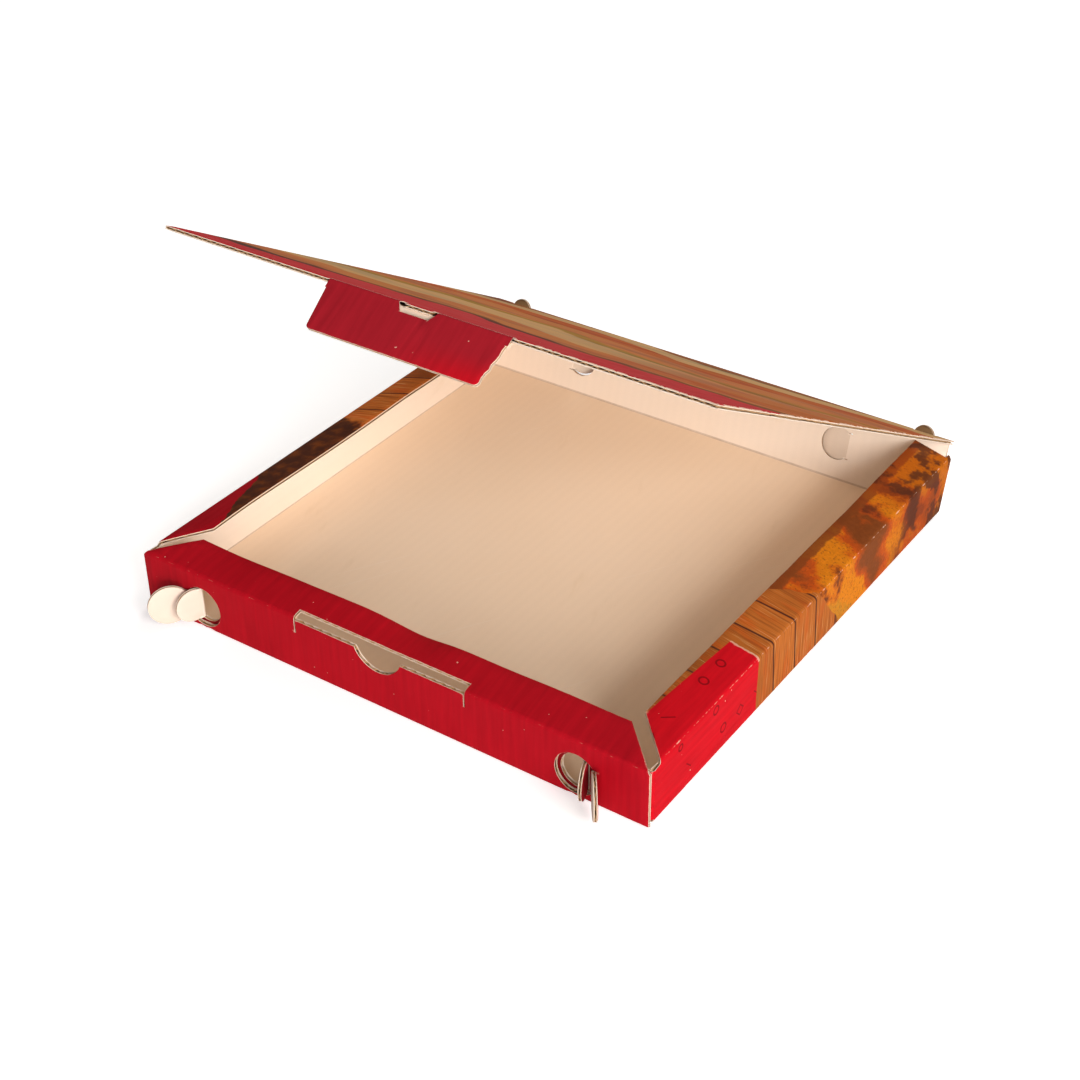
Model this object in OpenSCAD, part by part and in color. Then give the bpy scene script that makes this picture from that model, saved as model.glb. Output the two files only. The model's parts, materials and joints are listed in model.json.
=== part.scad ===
// Pizza box of corrugated board: a folded tray with inward flanges, and a lid on its back wall

/* [Board] */
// Thickness of the corrugated board
board_t = 2.5; // [2:0.1:3]
// Air between two layers of board that lie together
layer_gap = 0.3; // [0.2:0.05:0.5]
// Air between the two sides of a crease
crease_gap = 0.7; // [0.6:0.05:1]

/* [Tray] */
// Width over the side walls
tray_w = 330; // [300:1:380]
// Depth of the floor
tray_d = 330; // [300:1:380]
// Height of the front and side walls to their top folds
wall_h = 36.5; // [34:0.5:44]
// Lean of the back wall out from upright, in degrees
back_lean = 15; // [4:1:16]
// Length of the tabs behind the front wall
front_tab_l = 66; // [60:1:80]
// Length of the tabs outside the back wall
rear_tab_l = 40; // [25:1:42]

/* [Flanges] */
// Length of a flange from its fold
flange_l = 24; // [18:0.5:30]
// Rise of the front flange, in degrees
front_tilt = 13; // [4:1:16]
// Rise of the right flange, in degrees
right_tilt = 13; // [4:1:16]
// Rise of the left flange, in degrees
left_tilt = 16; // [4:1:16]
// Angle of the front flange's slanted ends from straight, in degrees
front_mitre = 47; // [40:1:55]
// Angle of a side flange's slanted front end from straight, in degrees
side_mitre = 45; // [40:1:55]
// Distance that a side flange starts behind the front fold
side_set_back = 10.5; // [8:0.5:14]
// Room between a side flange and the back wall
flange_clear = 0.8; // [0.5:0.1:2]

/* [Lock slot] */
// Room for the tuck flap at each end of the slot
slot_end_clear = 1; // [0.5:0.1:2]
// Room for the tuck flap on each face of the slot
slot_face_clear = 0.4; // [0.3:0.05:0.8]
// Radius of the thumb dip in the front wall
dip_r = 16; // [12:0.5:20]
// Depth of the thumb dip under the slot
dip_depth = 10.5; // [8:0.5:11.5]
// Depth of the nicks at the slot's ends
nick_depth = 8; // [4:0.5:10]
// Width of the nicks
nick_w = 0.8; // [0.5:0.1:1.2]

/* [Vents] */
// Radius of a front vent
front_vent_r = 12.5; // [12.25:0.05:12.6]
// Distance of a front vent's centre from the side of the tray
front_vent_inset = 42; // [38:0.5:44]
// Height of a front vent's centre
front_vent_h = 15.25; // [15.25:0.25:19]
// Distance of a front vent's crease from its centre
front_vent_chord = 11; // [10:0.25:11.25]
// Radius of the hole in the tab behind a front vent
tab_vent_r = 10.6; // [9.5:0.1:10.6]
// Distance that the tab's crease lies nearer the vent's centre
tab_crease_shift = 6; // [6:0.1:6.5]
// Rest angle of the front vents, pushed out
front_vent_open = 126; // [60:1:128]
// Turn of a tab's vent flap for each degree of the flap before it
tab_turn_share = 0.88; // [0.85:0.01:0.88]
// Radius of a back vent
back_vent_r = 10.5; // [8:0.25:11.5]
// Distance of a back vent's centre from the middle
back_vent_x = 93.5; // [80:0.5:96]
// Height of a back vent's centre up the back wall
back_vent_up = 22.5; // [18:0.5:26]
// Distance of a back vent's crease from its centre
back_vent_chord = 7.5; // [6:0.25:7.5]
// Rest angle of the left back vent, pushed out
back_left_open = 35; // [0:1:120]
// Rest angle of the right back vent, almost shut
back_right_open = 4; // [0:1:120]
// Radius of the bead along a vent's crease
vent_bead_r = 0.5; // [0.4:0.05:0.55]
// Set-back of the board behind a vent's bead
vent_set_back = 1.25; // [1.25:0.05:1.5]
// Die cut round a vent flap
vent_cut = 0.4; // [0.3:0.05:0.6]

/* [Lid] */
// Rest angle of the lid above shut
lid_open = 30; // [0:1:150]
// Air under the shut lid, above the flanges
lid_rest_gap = 0.6; // [0.4:0.1:3]
// Distance of a hinge ear from the middle
ear_x = 146; // [100:0.5:147]
// Width of a hinge ear
ear_w = 13; // [10:0.5:16]
// Height of a hinge ear above the crease
ear_h = 5.5; // [4:0.25:6]
// Room round a hinge ear in the lid
ear_clear = 1.2; // [1:0.1:2]

/* [Tuck flap] */
// Width of the flap at its fold
flap_w = 110; // [90:1:130]
// Width of the flap's free edge before its corners
flap_tip_w = 103; // [80:1:104]
// Length of the flap
flap_l = 28.5; // [22:0.5:30]
// Radius of the flap's free corners
flap_corner_r = 2.5; // [2:0.5:12]
// Rest angle of the flap below the lid's plane
flap_fold = 60; // [0:1:90]
// Width of the notch in the flap's fold
fold_notch_w = 23; // [16:0.5:30]
// Width of the notch at its far side
fold_notch_tip_w = 17; // [12:0.5:17]
// Depth of the notch
fold_notch_l = 4.5; // [4:0.5:10]
// Room beside the flap and the tongue in its notch
fold_side_clear = 0.8; // [0.5:0.1:1.5]

/* [Hidden] */
$fn = 96;
// How far a cut runs past the faces that it opens
overrun = 5;
// Flat steps round a fold
fold_steps = 8;
half_t = board_t / 2;
half_w = tray_w / 2;
half_d = tray_d / 2;
layer_pitch = board_t + layer_gap;
flange_run = flange_l - board_t;
// Front end of the side walls, where they turn into the front tabs
side_front_y = -half_d + board_t + layer_pitch;
// Inner corner of the fold under the back wall
back_y = half_d - board_t;
back_w = tray_w - 2 * layer_pitch;
// Hinge line of the lid, level with the middle of the shut lid
top_tilt = max(front_tilt, right_tilt, left_tilt);
hinge_z = wall_h + flange_l * sin(top_tilt) + lid_rest_gap + half_t;
hinge_up = (hinge_z - board_t + half_t * sin(back_lean)) / cos(back_lean);
hinge_y = back_y + hinge_up * sin(back_lean) + half_t * cos(back_lean);
back_up = hinge_up - half_t - crease_gap;
// Fold line of the tuck flap, over the middle of the slot when shut
flap_y = -half_d + board_t + slot_face_clear + half_t;
flap_reach = hinge_y - flap_y;
lid_l = flap_reach + half_t;
slot_w = flap_w + 2 * slot_end_clear;
slot_back_y = flap_y + half_t + slot_face_clear;
front_vent_x = half_w - front_vent_inset;
tab_vent_chord = front_vent_chord - tab_crease_shift;
ear_r = ear_w / 2;
print_red = [0.70, 0.07, 0.10];
bare_board = [0.90, 0.80, 0.66];

// Height of a top fold's inner corner, under the sharp meeting of the two outer faces
function fold_z(tilt) = wall_h - board_t * (1 - sin(tilt)) / cos(tilt);

// Points of a fold's round outer face
function arc(centre, r, from, to) = [
    for (i = [0:fold_steps])
        let (a = from + (to - from) * i / fold_steps)
            centre + r * [cos(a), sin(a)]
];

// Extrudes a section drawn in depth and height along the width, about the middle
module along_width(l) {
    rotate([90, 0, 90])
        linear_extrude(l, center = true)
            children();
}

// Turns an outline drawn in width and height into upright board, from y = 0 back
module upright_board(thickness) {
    translate([0, thickness, 0])
        rotate([90, 0, 0])
            linear_extrude(thickness)
                children();
}

// Stands its children on the leaning back wall: x along it, y outward and z up it
module on_back_wall() {
    translate([0, back_y, board_t])
        rotate([-back_lean, 0, 0])
            children();
}

// Stands its children on the lid's hinge line, with the lid lying along -y
module on_lid() {
    translate([0, hinge_y, hinge_z])
        rotate([-lid_open, 0, 0])
            children();
}

module both_sides() {
    children();
    mirror([1, 0, 0])
        children();
}

// Slice of a disc with its point at the origin
module slice(r, from, to) {
    reach = 2 * r;
    middle = (from + to) / 2;
    intersection() {
        circle(r);
        polygon([
            [0, 0],
            reach * [cos(from), sin(from)],
            reach * [cos(middle), sin(middle)],
            reach * [cos(to), sin(to)]
        ]);
    }
}

// Floor fold, wall and flange as one folded section, with the wall's outer face on x = 0
module wall_section(tilt) {
    low = [board_t, board_t];
    high = [board_t, fold_z(tilt)];
    along = [cos(tilt), sin(tilt)];
    out = [-sin(tilt), cos(tilt)];
    polygon(concat(
        [low],
        arc(low, board_t, 270, 180),
        arc(high, board_t, 180, 90 + tilt),
        [high + flange_run * along + board_t * out, high + flange_run * along, high]
    ));
}

// Floor fold and back wall as one folded section, with the fold's inner corner at the origin
module back_section(up) {
    along = [sin(back_lean), cos(back_lean)];
    out = [cos(back_lean), -sin(back_lean)];
    polygon(concat(
        [[0, 0]],
        arc([0, 0], board_t, 270, 360 - back_lean),
        [up * along + board_t * out, up * along]
    ));
}

// Round vent with a straight side towards -x, where its crease is
module vent_outline(r, chord) {
    intersection() {
        circle(r);
        translate([-chord, -r])
            square([chord + r, 2 * r]);
    }
}

// Hole for a vent flap, set back behind the crease and nicked at the crease's ends
module vent_hole(r, chord) {
    crease_half = sqrt(r * r - chord * chord) + vent_set_back;
    vent_outline(r, chord);
    translate([-chord - vent_set_back, -crease_half])
        square([2 * vent_set_back, 2 * crease_half]);
}

// Plan of what lies beyond a mitred end, to the right of a line through the origin
module mitre_plan(angle) {
    run = flange_l + overrun;
    polygon([[0, 0], [-run * tan(angle), run], [overrun, run], [overrun, -overrun], [0, -overrun]]);
}

module front_wall() {
    top = fold_z(front_tilt);
    difference() {
        translate([0, -half_d, 0])
            along_width(tray_w)
                wall_section(front_tilt);
        both_sides()
            translate([half_w, -half_d, top])
                linear_extrude(flange_l)
                    mitre_plan(front_mitre);
        lock_slot(top);
        both_sides()
            translate([-front_vent_x, -half_d - overrun, front_vent_h])
                upright_board(overrun + board_t + layer_gap / 2)
                    vent_hole(front_vent_r, front_vent_chord);
    }
}

// Slot behind the front fold, with the thumb dip and the nicks in the wall's free edge
module lock_slot(top) {
    translate([-slot_w / 2, -half_d - overrun, top])
        cube([slot_w, overrun + half_d + slot_back_y, flange_l]);
    translate([-slot_w / 2, -half_d + board_t, top - overrun])
        cube([slot_w, slot_back_y + half_d - board_t, flange_l]);
    translate([0, -half_d - overrun, top - dip_depth + dip_r])
        upright_board(overrun + board_t + layer_gap)
            circle(dip_r);
    both_sides()
        translate([slot_w / 2 - nick_w, -half_d - overrun, top - nick_depth])
            cube([nick_w, overrun + board_t + layer_gap, nick_depth + overrun]);
}

// Right wall with its flange, front tab and rear tab
module side_wall(tilt) {
    top = fold_z(tilt);
    difference() {
        translate([half_w, side_front_y, 0])
            rotate([90, 0, 180])
                linear_extrude(tray_d)
                    wall_section(tilt);
        translate([half_w, -half_d + side_set_back, top])
            linear_extrude(flange_l)
                side_mitre_plan();
        on_back_wall()
            translate([0, layer_pitch, -tray_d])
                cube([tray_w, tray_d, 2 * tray_d]);
        on_back_wall()
            translate([0, -flange_clear, -overrun])
                cube([half_w - board_t, tray_d, tray_d]);
    }
    front_tab(top);
    rear_tab();
}

// Plan of what is cut off a side flange's front end
module side_mitre_plan() {
    run = flange_l + overrun;
    front = -side_set_back - overrun;
    polygon([[overrun, 0], [0, 0], [-run, run * tan(side_mitre)], [-run, front], [overrun, front]]);
}

// Tab that turns in behind the front wall, with its own vent
module front_tab(top) {
    tab_bottom = board_t + layer_gap;
    difference() {
        union() {
            translate([half_w - board_t, side_front_y, 0])
                linear_extrude(top)
                    slice(board_t, 270, 360);
            translate([half_w - board_t - front_tab_l, side_front_y - board_t, tab_bottom])
                cube([front_tab_l, board_t, top - 2 * layer_gap - tab_bottom]);
        }
        translate([front_vent_x, side_front_y - board_t - layer_gap / 2, front_vent_h])
            upright_board(layer_pitch + overrun)
                mirror([1, 0])
                    vent_hole(tab_vent_r, tab_vent_chord);
    }
}

// Tab that turns in behind the back wall
module rear_tab() {
    tab_top = (fold_z(top_tilt) - 2 * board_t) / cos(back_lean);
    turn = [half_w - board_t, layer_pitch];
    free_x = half_w - board_t - rear_tab_l;
    on_back_wall()
        translate([0, 0, half_t])
            linear_extrude(tab_top - half_t)
                polygon(concat(
                    [[half_w - board_t, 0], turn, [free_x, layer_pitch], [free_x, layer_pitch + board_t]],
                    arc(turn, board_t, 90, 0),
                    [[half_w, 0]]
                ));
}

module back_wall() {
    full_up = hinge_up + ear_h;
    difference() {
        translate([0, back_y, board_t])
            along_width(back_w)
                back_section(full_up);
        on_back_wall()
            translate([0, -overrun, 0])
                upright_board(board_t + 2 * overrun) {
                    difference() {
                        translate([-half_w, back_up])
                            square([tray_w, full_up + overrun - back_up]);
                        both_sides()
                            ear_outline();
                    }
                    both_sides()
                        translate([-back_vent_x, back_vent_up])
                            vent_hole(back_vent_r, back_vent_chord);
                }
    }
}

// Rounded ear that stands up through the lid's crease
module ear_outline() {
    middle_up = hinge_up + ear_h - ear_r;
    translate([ear_x, middle_up])
        circle(ear_r);
    translate([ear_x - ear_r, back_up - half_t])
        square([ear_w, middle_up - back_up + half_t]);
}

module floor_panel() {
    translate([-half_w + board_t, -half_d + board_t, 0])
        cube([tray_w - 2 * board_t, tray_d - 2 * board_t, board_t]);
}

module tray() {
    color(print_red) {
        floor_panel();
        front_wall();
        side_wall(right_tilt);
        mirror([1, 0, 0])
            side_wall(left_tilt);
        back_wall();
    }
}

module lid() {
    color(print_red)
        on_lid()
            difference() {
                union() {
                    translate([-half_w, -lid_l, -half_t])
                        cube([tray_w, lid_l, board_t]);
                    along_width(back_w)
                        slice(half_t, -90, 90);
                }
                both_sides() {
                    translate([ear_x, 0, -board_t])
                        cylinder(h = 2 * board_t, r = ear_r + ear_clear);
                    flap_recess();
                }
            }
}

// Half of the room for the flap's crease in the lid's front edge, beside the middle tongue
module flap_recess() {
    tongue = fold_notch_tip_w / 2 - fold_side_clear;
    side = flap_w / 2 + fold_side_clear;
    translate([tongue, -lid_l - overrun, -board_t])
        cube([side - tongue, overrun + board_t + crease_gap, 2 * board_t]);
}

// Right half of the flap's outline, from its fold along -y to a rounded corner
module half_flap_outline() {
    taper = (flap_w - flap_tip_w) / 2 / flap_l;
    slope = sqrt(1 + taper * taper);
    corner_y = flap_l - flap_corner_r;
    corner_x = flap_w / 2 - taper * corner_y - flap_corner_r * slope;
    side = [corner_x + flap_corner_r / slope, -corner_y - flap_corner_r * taper / slope];
    polygon([
        [fold_notch_w / 2, 0],
        [flap_w / 2, 0],
        side,
        [corner_x, -corner_y],
        [corner_x, -flap_l],
        [0, -flap_l],
        [0, -fold_notch_l],
        [fold_notch_tip_w / 2, -fold_notch_l]
    ]);
    translate([corner_x, -corner_y])
        slice(flap_corner_r, 270, 360 - atan(taper));
}

module tuck_flap() {
    bead_l = (flap_w - fold_notch_w) / 2;
    color(print_red)
        on_lid()
            translate([0, -flap_reach, 0])
                rotate([flap_fold, 0, 0]) {
                    translate([0, 0, -half_t])
                        linear_extrude(board_t)
                            both_sides()
                                half_flap_outline();
                    both_sides()
                        translate([(fold_notch_w + bead_l) / 2, 0, 0])
                            along_width(bead_l)
                                slice(half_t, -90, 90);
                }
}

// Vent flap about its crease: x across the flap, y into the box, z along the crease
module vent_flap(r, chord, open) {
    flap_r = r - vent_cut;
    bead_half = sqrt(flap_r * flap_r - chord * chord) - vent_cut;
    rotate([0, 0, -open]) {
        translate([chord, -vent_bead_r, 0])
            upright_board(board_t)
                vent_outline(flap_r, chord);
        translate([0, 0, -bead_half])
            linear_extrude(2 * bead_half)
                slice(vent_bead_r, 90, 270);
    }
}

module front_vent() {
    color(print_red)
        translate([-front_vent_x - front_vent_chord, -half_d + vent_bead_r, front_vent_h])
            vent_flap(front_vent_r, front_vent_chord, front_vent_open);
}

module tab_vent() {
    color(bare_board)
        translate([-front_vent_x - tab_vent_chord, -half_d + layer_pitch + vent_bead_r, front_vent_h])
            vent_flap(tab_vent_r, tab_vent_chord, front_vent_open * tab_turn_share);
}

module back_vent(open) {
    color(bare_board)
        on_back_wall()
            translate([-back_vent_x - back_vent_chord, board_t - vent_bead_r, back_vent_up])
                mirror([0, 1, 0])
                    vent_flap(back_vent_r, back_vent_chord, open);
}

module front_left_vent() {
    front_vent();
}

module front_left_tab_vent() {
    tab_vent();
}

module front_right_vent() {
    mirror([1, 0, 0])
        front_vent();
}

module front_right_tab_vent() {
    mirror([1, 0, 0])
        tab_vent();
}

module back_left_vent() {
    back_vent(back_left_open);
}

module back_right_vent() {
    mirror([1, 0, 0])
        back_vent(back_right_open);
}

tray();
lid();
tuck_flap();
front_left_vent();
front_left_tab_vent();
front_right_vent();
front_right_tab_vent();
back_left_vent();
back_right_vent();
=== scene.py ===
"""Looks of an open pizza box: fluted board, print, lining and creases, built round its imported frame."""

from __future__ import annotations

import json
import logging
import math
from dataclasses import dataclass, field
from enum import Enum
from typing import Any, Callable, Sequence

import bpy
import numpy as np
from mathutils import Matrix, Vector
from mathutils.geometry import delaunay_2d_cdt

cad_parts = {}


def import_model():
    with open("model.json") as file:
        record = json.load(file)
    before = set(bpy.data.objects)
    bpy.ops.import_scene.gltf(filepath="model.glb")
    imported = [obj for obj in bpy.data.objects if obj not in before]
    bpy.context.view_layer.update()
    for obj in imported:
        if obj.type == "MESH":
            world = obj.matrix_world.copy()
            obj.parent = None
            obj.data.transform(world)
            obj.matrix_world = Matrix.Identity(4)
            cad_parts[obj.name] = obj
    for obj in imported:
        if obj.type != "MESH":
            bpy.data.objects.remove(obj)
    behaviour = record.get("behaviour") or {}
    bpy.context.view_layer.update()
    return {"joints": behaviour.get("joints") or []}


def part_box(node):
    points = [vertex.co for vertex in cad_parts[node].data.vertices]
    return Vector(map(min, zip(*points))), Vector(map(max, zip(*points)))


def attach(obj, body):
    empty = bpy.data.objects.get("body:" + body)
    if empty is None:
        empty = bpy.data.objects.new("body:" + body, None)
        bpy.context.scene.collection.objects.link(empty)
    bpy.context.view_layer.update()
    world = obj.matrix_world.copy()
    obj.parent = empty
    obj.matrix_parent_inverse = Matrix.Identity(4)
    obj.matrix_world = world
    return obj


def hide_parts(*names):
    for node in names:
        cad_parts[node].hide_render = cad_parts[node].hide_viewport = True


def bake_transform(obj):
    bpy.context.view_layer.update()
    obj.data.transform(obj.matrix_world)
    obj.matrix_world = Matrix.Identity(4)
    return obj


LOG = logging.getLogger("pizza_box")
TINY = 1e-6
WELD = 1e-7
CLOSE = 1e-4
SHARP_EDGE = math.radians(40)

Array = np.ndarray
Pair = tuple[np.ndarray, np.ndarray]
Material = bpy.types.Material
Socket = bpy.types.NodeSocket
Point = tuple[float, float]
Span = tuple[float, float]
Place = tuple[float, float, float]
Colour = tuple[float, float, float]


def srgb(red: int, green: int, blue: int) -> Colour:
    """Linear colour of a screen colour given in steps of 255."""

    def linear(step: int) -> float:
        """Linear value of one channel."""
        share = step / 255
        return share / 12.92 if share <= 0.04045 else ((share + 0.055) / 1.055) ** 2.4

    return linear(red), linear(green), linear(blue)


class Face(Enum):
    """Faces of a liner, in the order of its material slots."""

    SURFACE = 0
    PAPER = 1


@dataclass(frozen=True)
class Board:
    """Corrugated board: a printed liner, a fluted sheet and a plain liner, in metres.

    A mesh has a row of triangles along each edge, the rim, and the two clear values count in rims. Each
    liner is pressed in by the pinch at a cut edge. Flutes are made from the recess to the band behind it.
    """

    thickness: float = 0.0025
    liner: float = 0.00036
    flute_pitch: float = 0.0062
    flute_paper: float = 0.00024
    flute_height: float = 0.00128
    flute_step: float = 0.00052
    fold_inside: float = 0.00025
    fold_steps: int = 6
    mesh_step: float = 0.006
    rim: float = 0.0009
    rim_clear: float = 0.7
    grid_clear: float = 1.8
    pinch: float = 0.00036
    hole_pinch: float = 0.00006
    band: float = 0.0064
    band_rows: int = 8
    recess: float = 0.00015

    @property
    def fold_outside(self) -> float:
        """Radius of a fold's outer face."""
        return self.thickness + self.fold_inside

    @property
    def middle(self) -> float:
        """Depth of the board's middle under its outer face."""
        return self.thickness / 2

    def corner_gap(self, lean: float) -> float:
        """Distance along a panel between the sharp outer and inner corners of its fold, by its lean."""
        return self.thickness * (1 - math.sin(lean)) / math.cos(lean)


def direction(angle: float) -> Array:
    """Direction in the plane of a section."""
    return np.array((math.cos(angle), math.sin(angle)))


def unit_rows(rows: Array) -> Array:
    """Rows of the same directions with a length of 1."""
    return rows / np.maximum(np.linalg.norm(rows, axis=1), TINY)[:, None]


@dataclass(frozen=True)
class Stretch:
    """One straight or round stretch of a folded section."""

    start: float
    length: float
    at: Array
    heading: float
    turn: float


class FoldPath:
    """Section of folded board, given by its sharp outer corners and measured along its outer face.

    The inside of the board lies to the left of the way, and every fold turns left.
    """

    def __init__(self, corners: Sequence[Point], radius: float, steps: int) -> None:
        """Rounds each corner.

        Args:
            corners: Outer corners in the plane of the section, free ends included.
            radius: Radius of the outer face at a fold.
            steps: Flat steps round a fold.
        """
        self.radius = radius
        self.steps = steps
        self.stretches: list[Stretch] = []
        self.tangents: list[float] = []
        points = [np.array(corner, float) for corner in corners]
        headings = [math.atan2(*(b - a)[::-1]) for a, b in zip(points, points[1:])]
        at, start = points[0], 0.0
        for index, heading in enumerate(headings):
            along = direction(heading)
            last = index + 1 == len(headings)
            turn = 0.0 if last else (headings[index + 1] - heading) % (2 * math.pi)
            tangent = radius * math.tan(turn / 2)
            length = float((points[index + 1] - at) @ along) - tangent
            self.stretches.append(Stretch(start, length, at, heading, 0.0))
            start += length
            at = at + length * along
            if not last:
                self.tangents.append(tangent)
                self.stretches.append(Stretch(start, radius * turn, at, heading, turn))
                start += radius * turn
                at = points[index + 1] + tangent * direction(headings[index + 1])
        self.length = start

    def fold(self, index: int) -> Stretch:
        """The stretch that rounds one corner, counted from 0."""
        return self.stretches[2 * index + 1]

    def after(self, index: int, distance: float) -> float:
        """Place along the way at a distance past the sharp corner of a fold."""
        bend = self.fold(index)
        return bend.start + bend.length + distance - self.tangents[index]

    def before(self, index: int, distance: float) -> float:
        """Place along the way at a distance before the sharp corner of a fold."""
        return self.fold(index).start - distance + self.tangents[index]

    def place(self, s: Array, depth: Array) -> Array:
        """Finds points of the section.

        Args:
            s: Distances along the outer face.
            depth: Depths under the outer face.

        Returns:
            Places in the plane of the section, one row for each point.
        """
        starts = np.array([stretch.start for stretch in self.stretches])
        which = np.clip(np.searchsorted(starts, s, side="right") - 1, 0, len(starts) - 1)
        out = np.empty((len(s), 2))
        for index, stretch in enumerate(self.stretches):
            here = which == index
            run = s[here] - stretch.start
            heading = np.full(run.shape, stretch.heading)
            base = np.tile(stretch.at, (len(run), 1))
            left = np.array((-math.sin(stretch.heading), math.cos(stretch.heading)))
            if stretch.turn:
                heading = heading + run / self.radius
                inward = np.stack((-np.sin(heading), np.cos(heading)), 1)
                base = base + self.radius * (left - inward)
            else:
                inward = np.tile(left, (len(run), 1))
                base = base + run[:, None] * direction(stretch.heading)
            out[here] = base + depth[here][:, None] * inward
        return out

    def spot(self, s: float) -> Point:
        """Place of one point of the outer face."""
        return tuple(self.place(np.array([s]), np.zeros(1))[0])

    def rows(self, step: float) -> Array:
        """Rows of a mesh along the way: even on the straights, closer round the folds."""
        found: list[float] = []
        for stretch in self.stretches:
            count = self.steps if stretch.turn else max(1, math.ceil(stretch.length / step))
            found.extend(stretch.start + stretch.length * k / count for k in range(count))
        return np.array(found + [self.length])

    def fold_rows(self) -> list[float]:
        """Rows round the folds alone."""
        rows: list[float] = []
        for stretch in self.stretches:
            if stretch.turn:
                rows.extend(stretch.start + stretch.length * k / self.steps for k in range(self.steps + 1))
        return rows

    def creased(self, s: Array) -> Array:
        """How much each point lies on a fold: 1 on its crest, 0 where it ends."""
        out = np.zeros(len(s))
        for stretch in self.stretches:
            if stretch.turn:
                share = (s - stretch.start) / stretch.length
                out = np.maximum(out, 1 - np.abs(2 * share - 1))
        return np.clip(out, 0, 1)


def arc(centre: Point, radius: float, start: float, stop: float, step: float = 0.0008) -> list[Point]:
    """Points of an arc.

    Args:
        centre: Its centre.
        radius: Its radius.
        start: First angle, in degrees.
        stop: Last angle, in degrees.
        step: Longest distance between two points.

    Returns:
        The points, ends included.
    """
    sweep = math.radians(stop - start)
    count = max(2, math.ceil(abs(sweep) * radius / step))
    angles = [math.radians(start) + sweep * k / count for k in range(count + 1)]
    return [(centre[0] + radius * math.cos(a), centre[1] + radius * math.sin(a)) for a in angles]


def flat_circle(centre: Point, radius: float, flat: float, toward: float) -> list[Point]:
    """Circle with one flat side.

    Args:
        centre: Its centre.
        radius: Its radius.
        flat: Distance of the flat side from the centre.
        toward: Direction of the flat side, in degrees.

    Returns:
        Points round the circle, from one end of the flat side to the other.
    """
    half = math.degrees(math.acos(flat / radius))
    return arc(centre, radius, toward + half, toward + 360 - half)


@dataclass(frozen=True)
class VentHole:
    """Round vent hole, cut square behind the crease of its flap.

    Attributes:
        radius: Radius of the hole.
        chord: Distance of the crease from the centre.
        set_back: How far the cut lies behind the crease and past its ends.
    """

    radius: float
    chord: float
    set_back: float = 0.00125

    def outline(self, centre: Point, toward: float) -> list[Point]:
        """Points round the hole.

        Args:
            centre: Centre of its round part.
            toward: Direction of the crease, in degrees.

        Returns:
            The points, from one end of the round part to the other and back along the cut.
        """
        half = math.sqrt(self.radius**2 - self.chord**2) + self.set_back
        near, far = self.chord - self.set_back, self.chord + self.set_back
        wide = math.sqrt(self.radius**2 - near**2) > half
        start = math.degrees(math.asin(half / self.radius) if wide else math.acos(near / self.radius))
        corners = [(far, half)] if wide else [(near, half), (far, half)]
        cos, sin = math.cos(math.radians(toward)), math.sin(math.radians(toward))
        ends = [(x, -y) for x, y in corners] + corners[::-1]
        turned = [(centre[0] + x * cos - y * sin, centre[1] + x * sin + y * cos) for x, y in ends]
        return arc(centre, self.radius, toward + start, toward + 360 - start) + turned


def rectangle(low: float, high: float, length: float) -> list[Point]:
    """Rectangle between two places along the axis, over a length of the path."""
    return [(low, 0.0), (high, 0.0), (high, length), (low, length)]


def frayed(
    first: Point, last: Point, depth: float, step: float, seed: int, shallow: float = 1.5
) -> list[Point]:
    """Torn edge between two corners.

    Args:
        first: Where it starts.
        last: Where it ends, with the sheet on the left of the way.
        depth: Most that it is set back.
        step: Distance between its points.
        seed: Number that fixes its shape.
        shallow: Power that keeps most of it shallow.

    Returns:
        The points, corners included.
    """
    run = np.array(last) - np.array(first)
    length = float(np.linalg.norm(run))
    count = max(2, round(length / step))
    share = np.arange(1, count) / count
    back = depth * np.random.default_rng(seed).random(count - 1) ** shallow
    left = np.array((-run[1], run[0])) / length
    points = np.array(first) + share[:, None] * run + back[:, None] * left
    return [first, *(tuple(point) for point in points), last]


def crossing(at: Point, along: Array, other: Point, onward: Array) -> Point:
    """Where two lines meet, each given by a point and a direction."""
    gap = np.array(other) - np.array(at)
    turn = along[0] * onward[1] - along[1] * onward[0]
    return tuple(np.array(at) + (gap[0] * onward[1] - gap[1] * onward[0]) / turn * along)


def area(points: Sequence[Point]) -> float:
    """Signed area of a closed outline, positive when it runs anticlockwise."""
    x, y = np.array(points).T
    return float(np.sum(x * np.roll(y, -1) - y * np.roll(x, -1)) / 2)


class Domain:
    """Flat shape of a panel: an outline and its holes, with the sheet on the left of every edge."""

    def __init__(self, outline: Sequence[Point], holes: Sequence[Sequence[Point]] = ()) -> None:
        """Winds the outline anticlockwise and the holes clockwise."""
        self.loops: list[Array] = []
        for index, points in enumerate((outline, *holes)):
            anticlockwise = area(points) > 0
            keep = anticlockwise == (index == 0)
            self.loops.append(np.array(points if keep else points[::-1], float))

    def edges(self) -> Pair:
        """First and last points of all edges."""
        first = np.concatenate(self.loops)
        last = np.concatenate([np.roll(loop, -1, 0) for loop in self.loops])
        return first, last

    def inside(self, points: Array) -> Array:
        """True for each point that lies on the sheet."""
        first, last = self.edges()
        x, y = points[:, 0:1], points[:, 1:2]
        crosses = (first[:, 1] > y) != (last[:, 1] > y)
        rise = np.where(last[:, 1] == first[:, 1], 1.0, last[:, 1] - first[:, 1])
        at = first[:, 0] + (y - first[:, 1]) * (last[:, 0] - first[:, 0]) / rise
        return np.count_nonzero(crosses & (x < at), axis=1) % 2 == 1

    def clearance(self, points: Array) -> Array:
        """Distance of each point from the nearest edge."""
        first, last = self.edges()
        best = np.full(len(points), np.inf)
        for a, b in zip(first, last):
            run = b - a
            share = np.clip((points - a) @ run / max(run @ run, TINY**2), 0, 1)
            best = np.minimum(best, np.linalg.norm(points - a - share[:, None] * run, axis=1))
        return best


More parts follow.
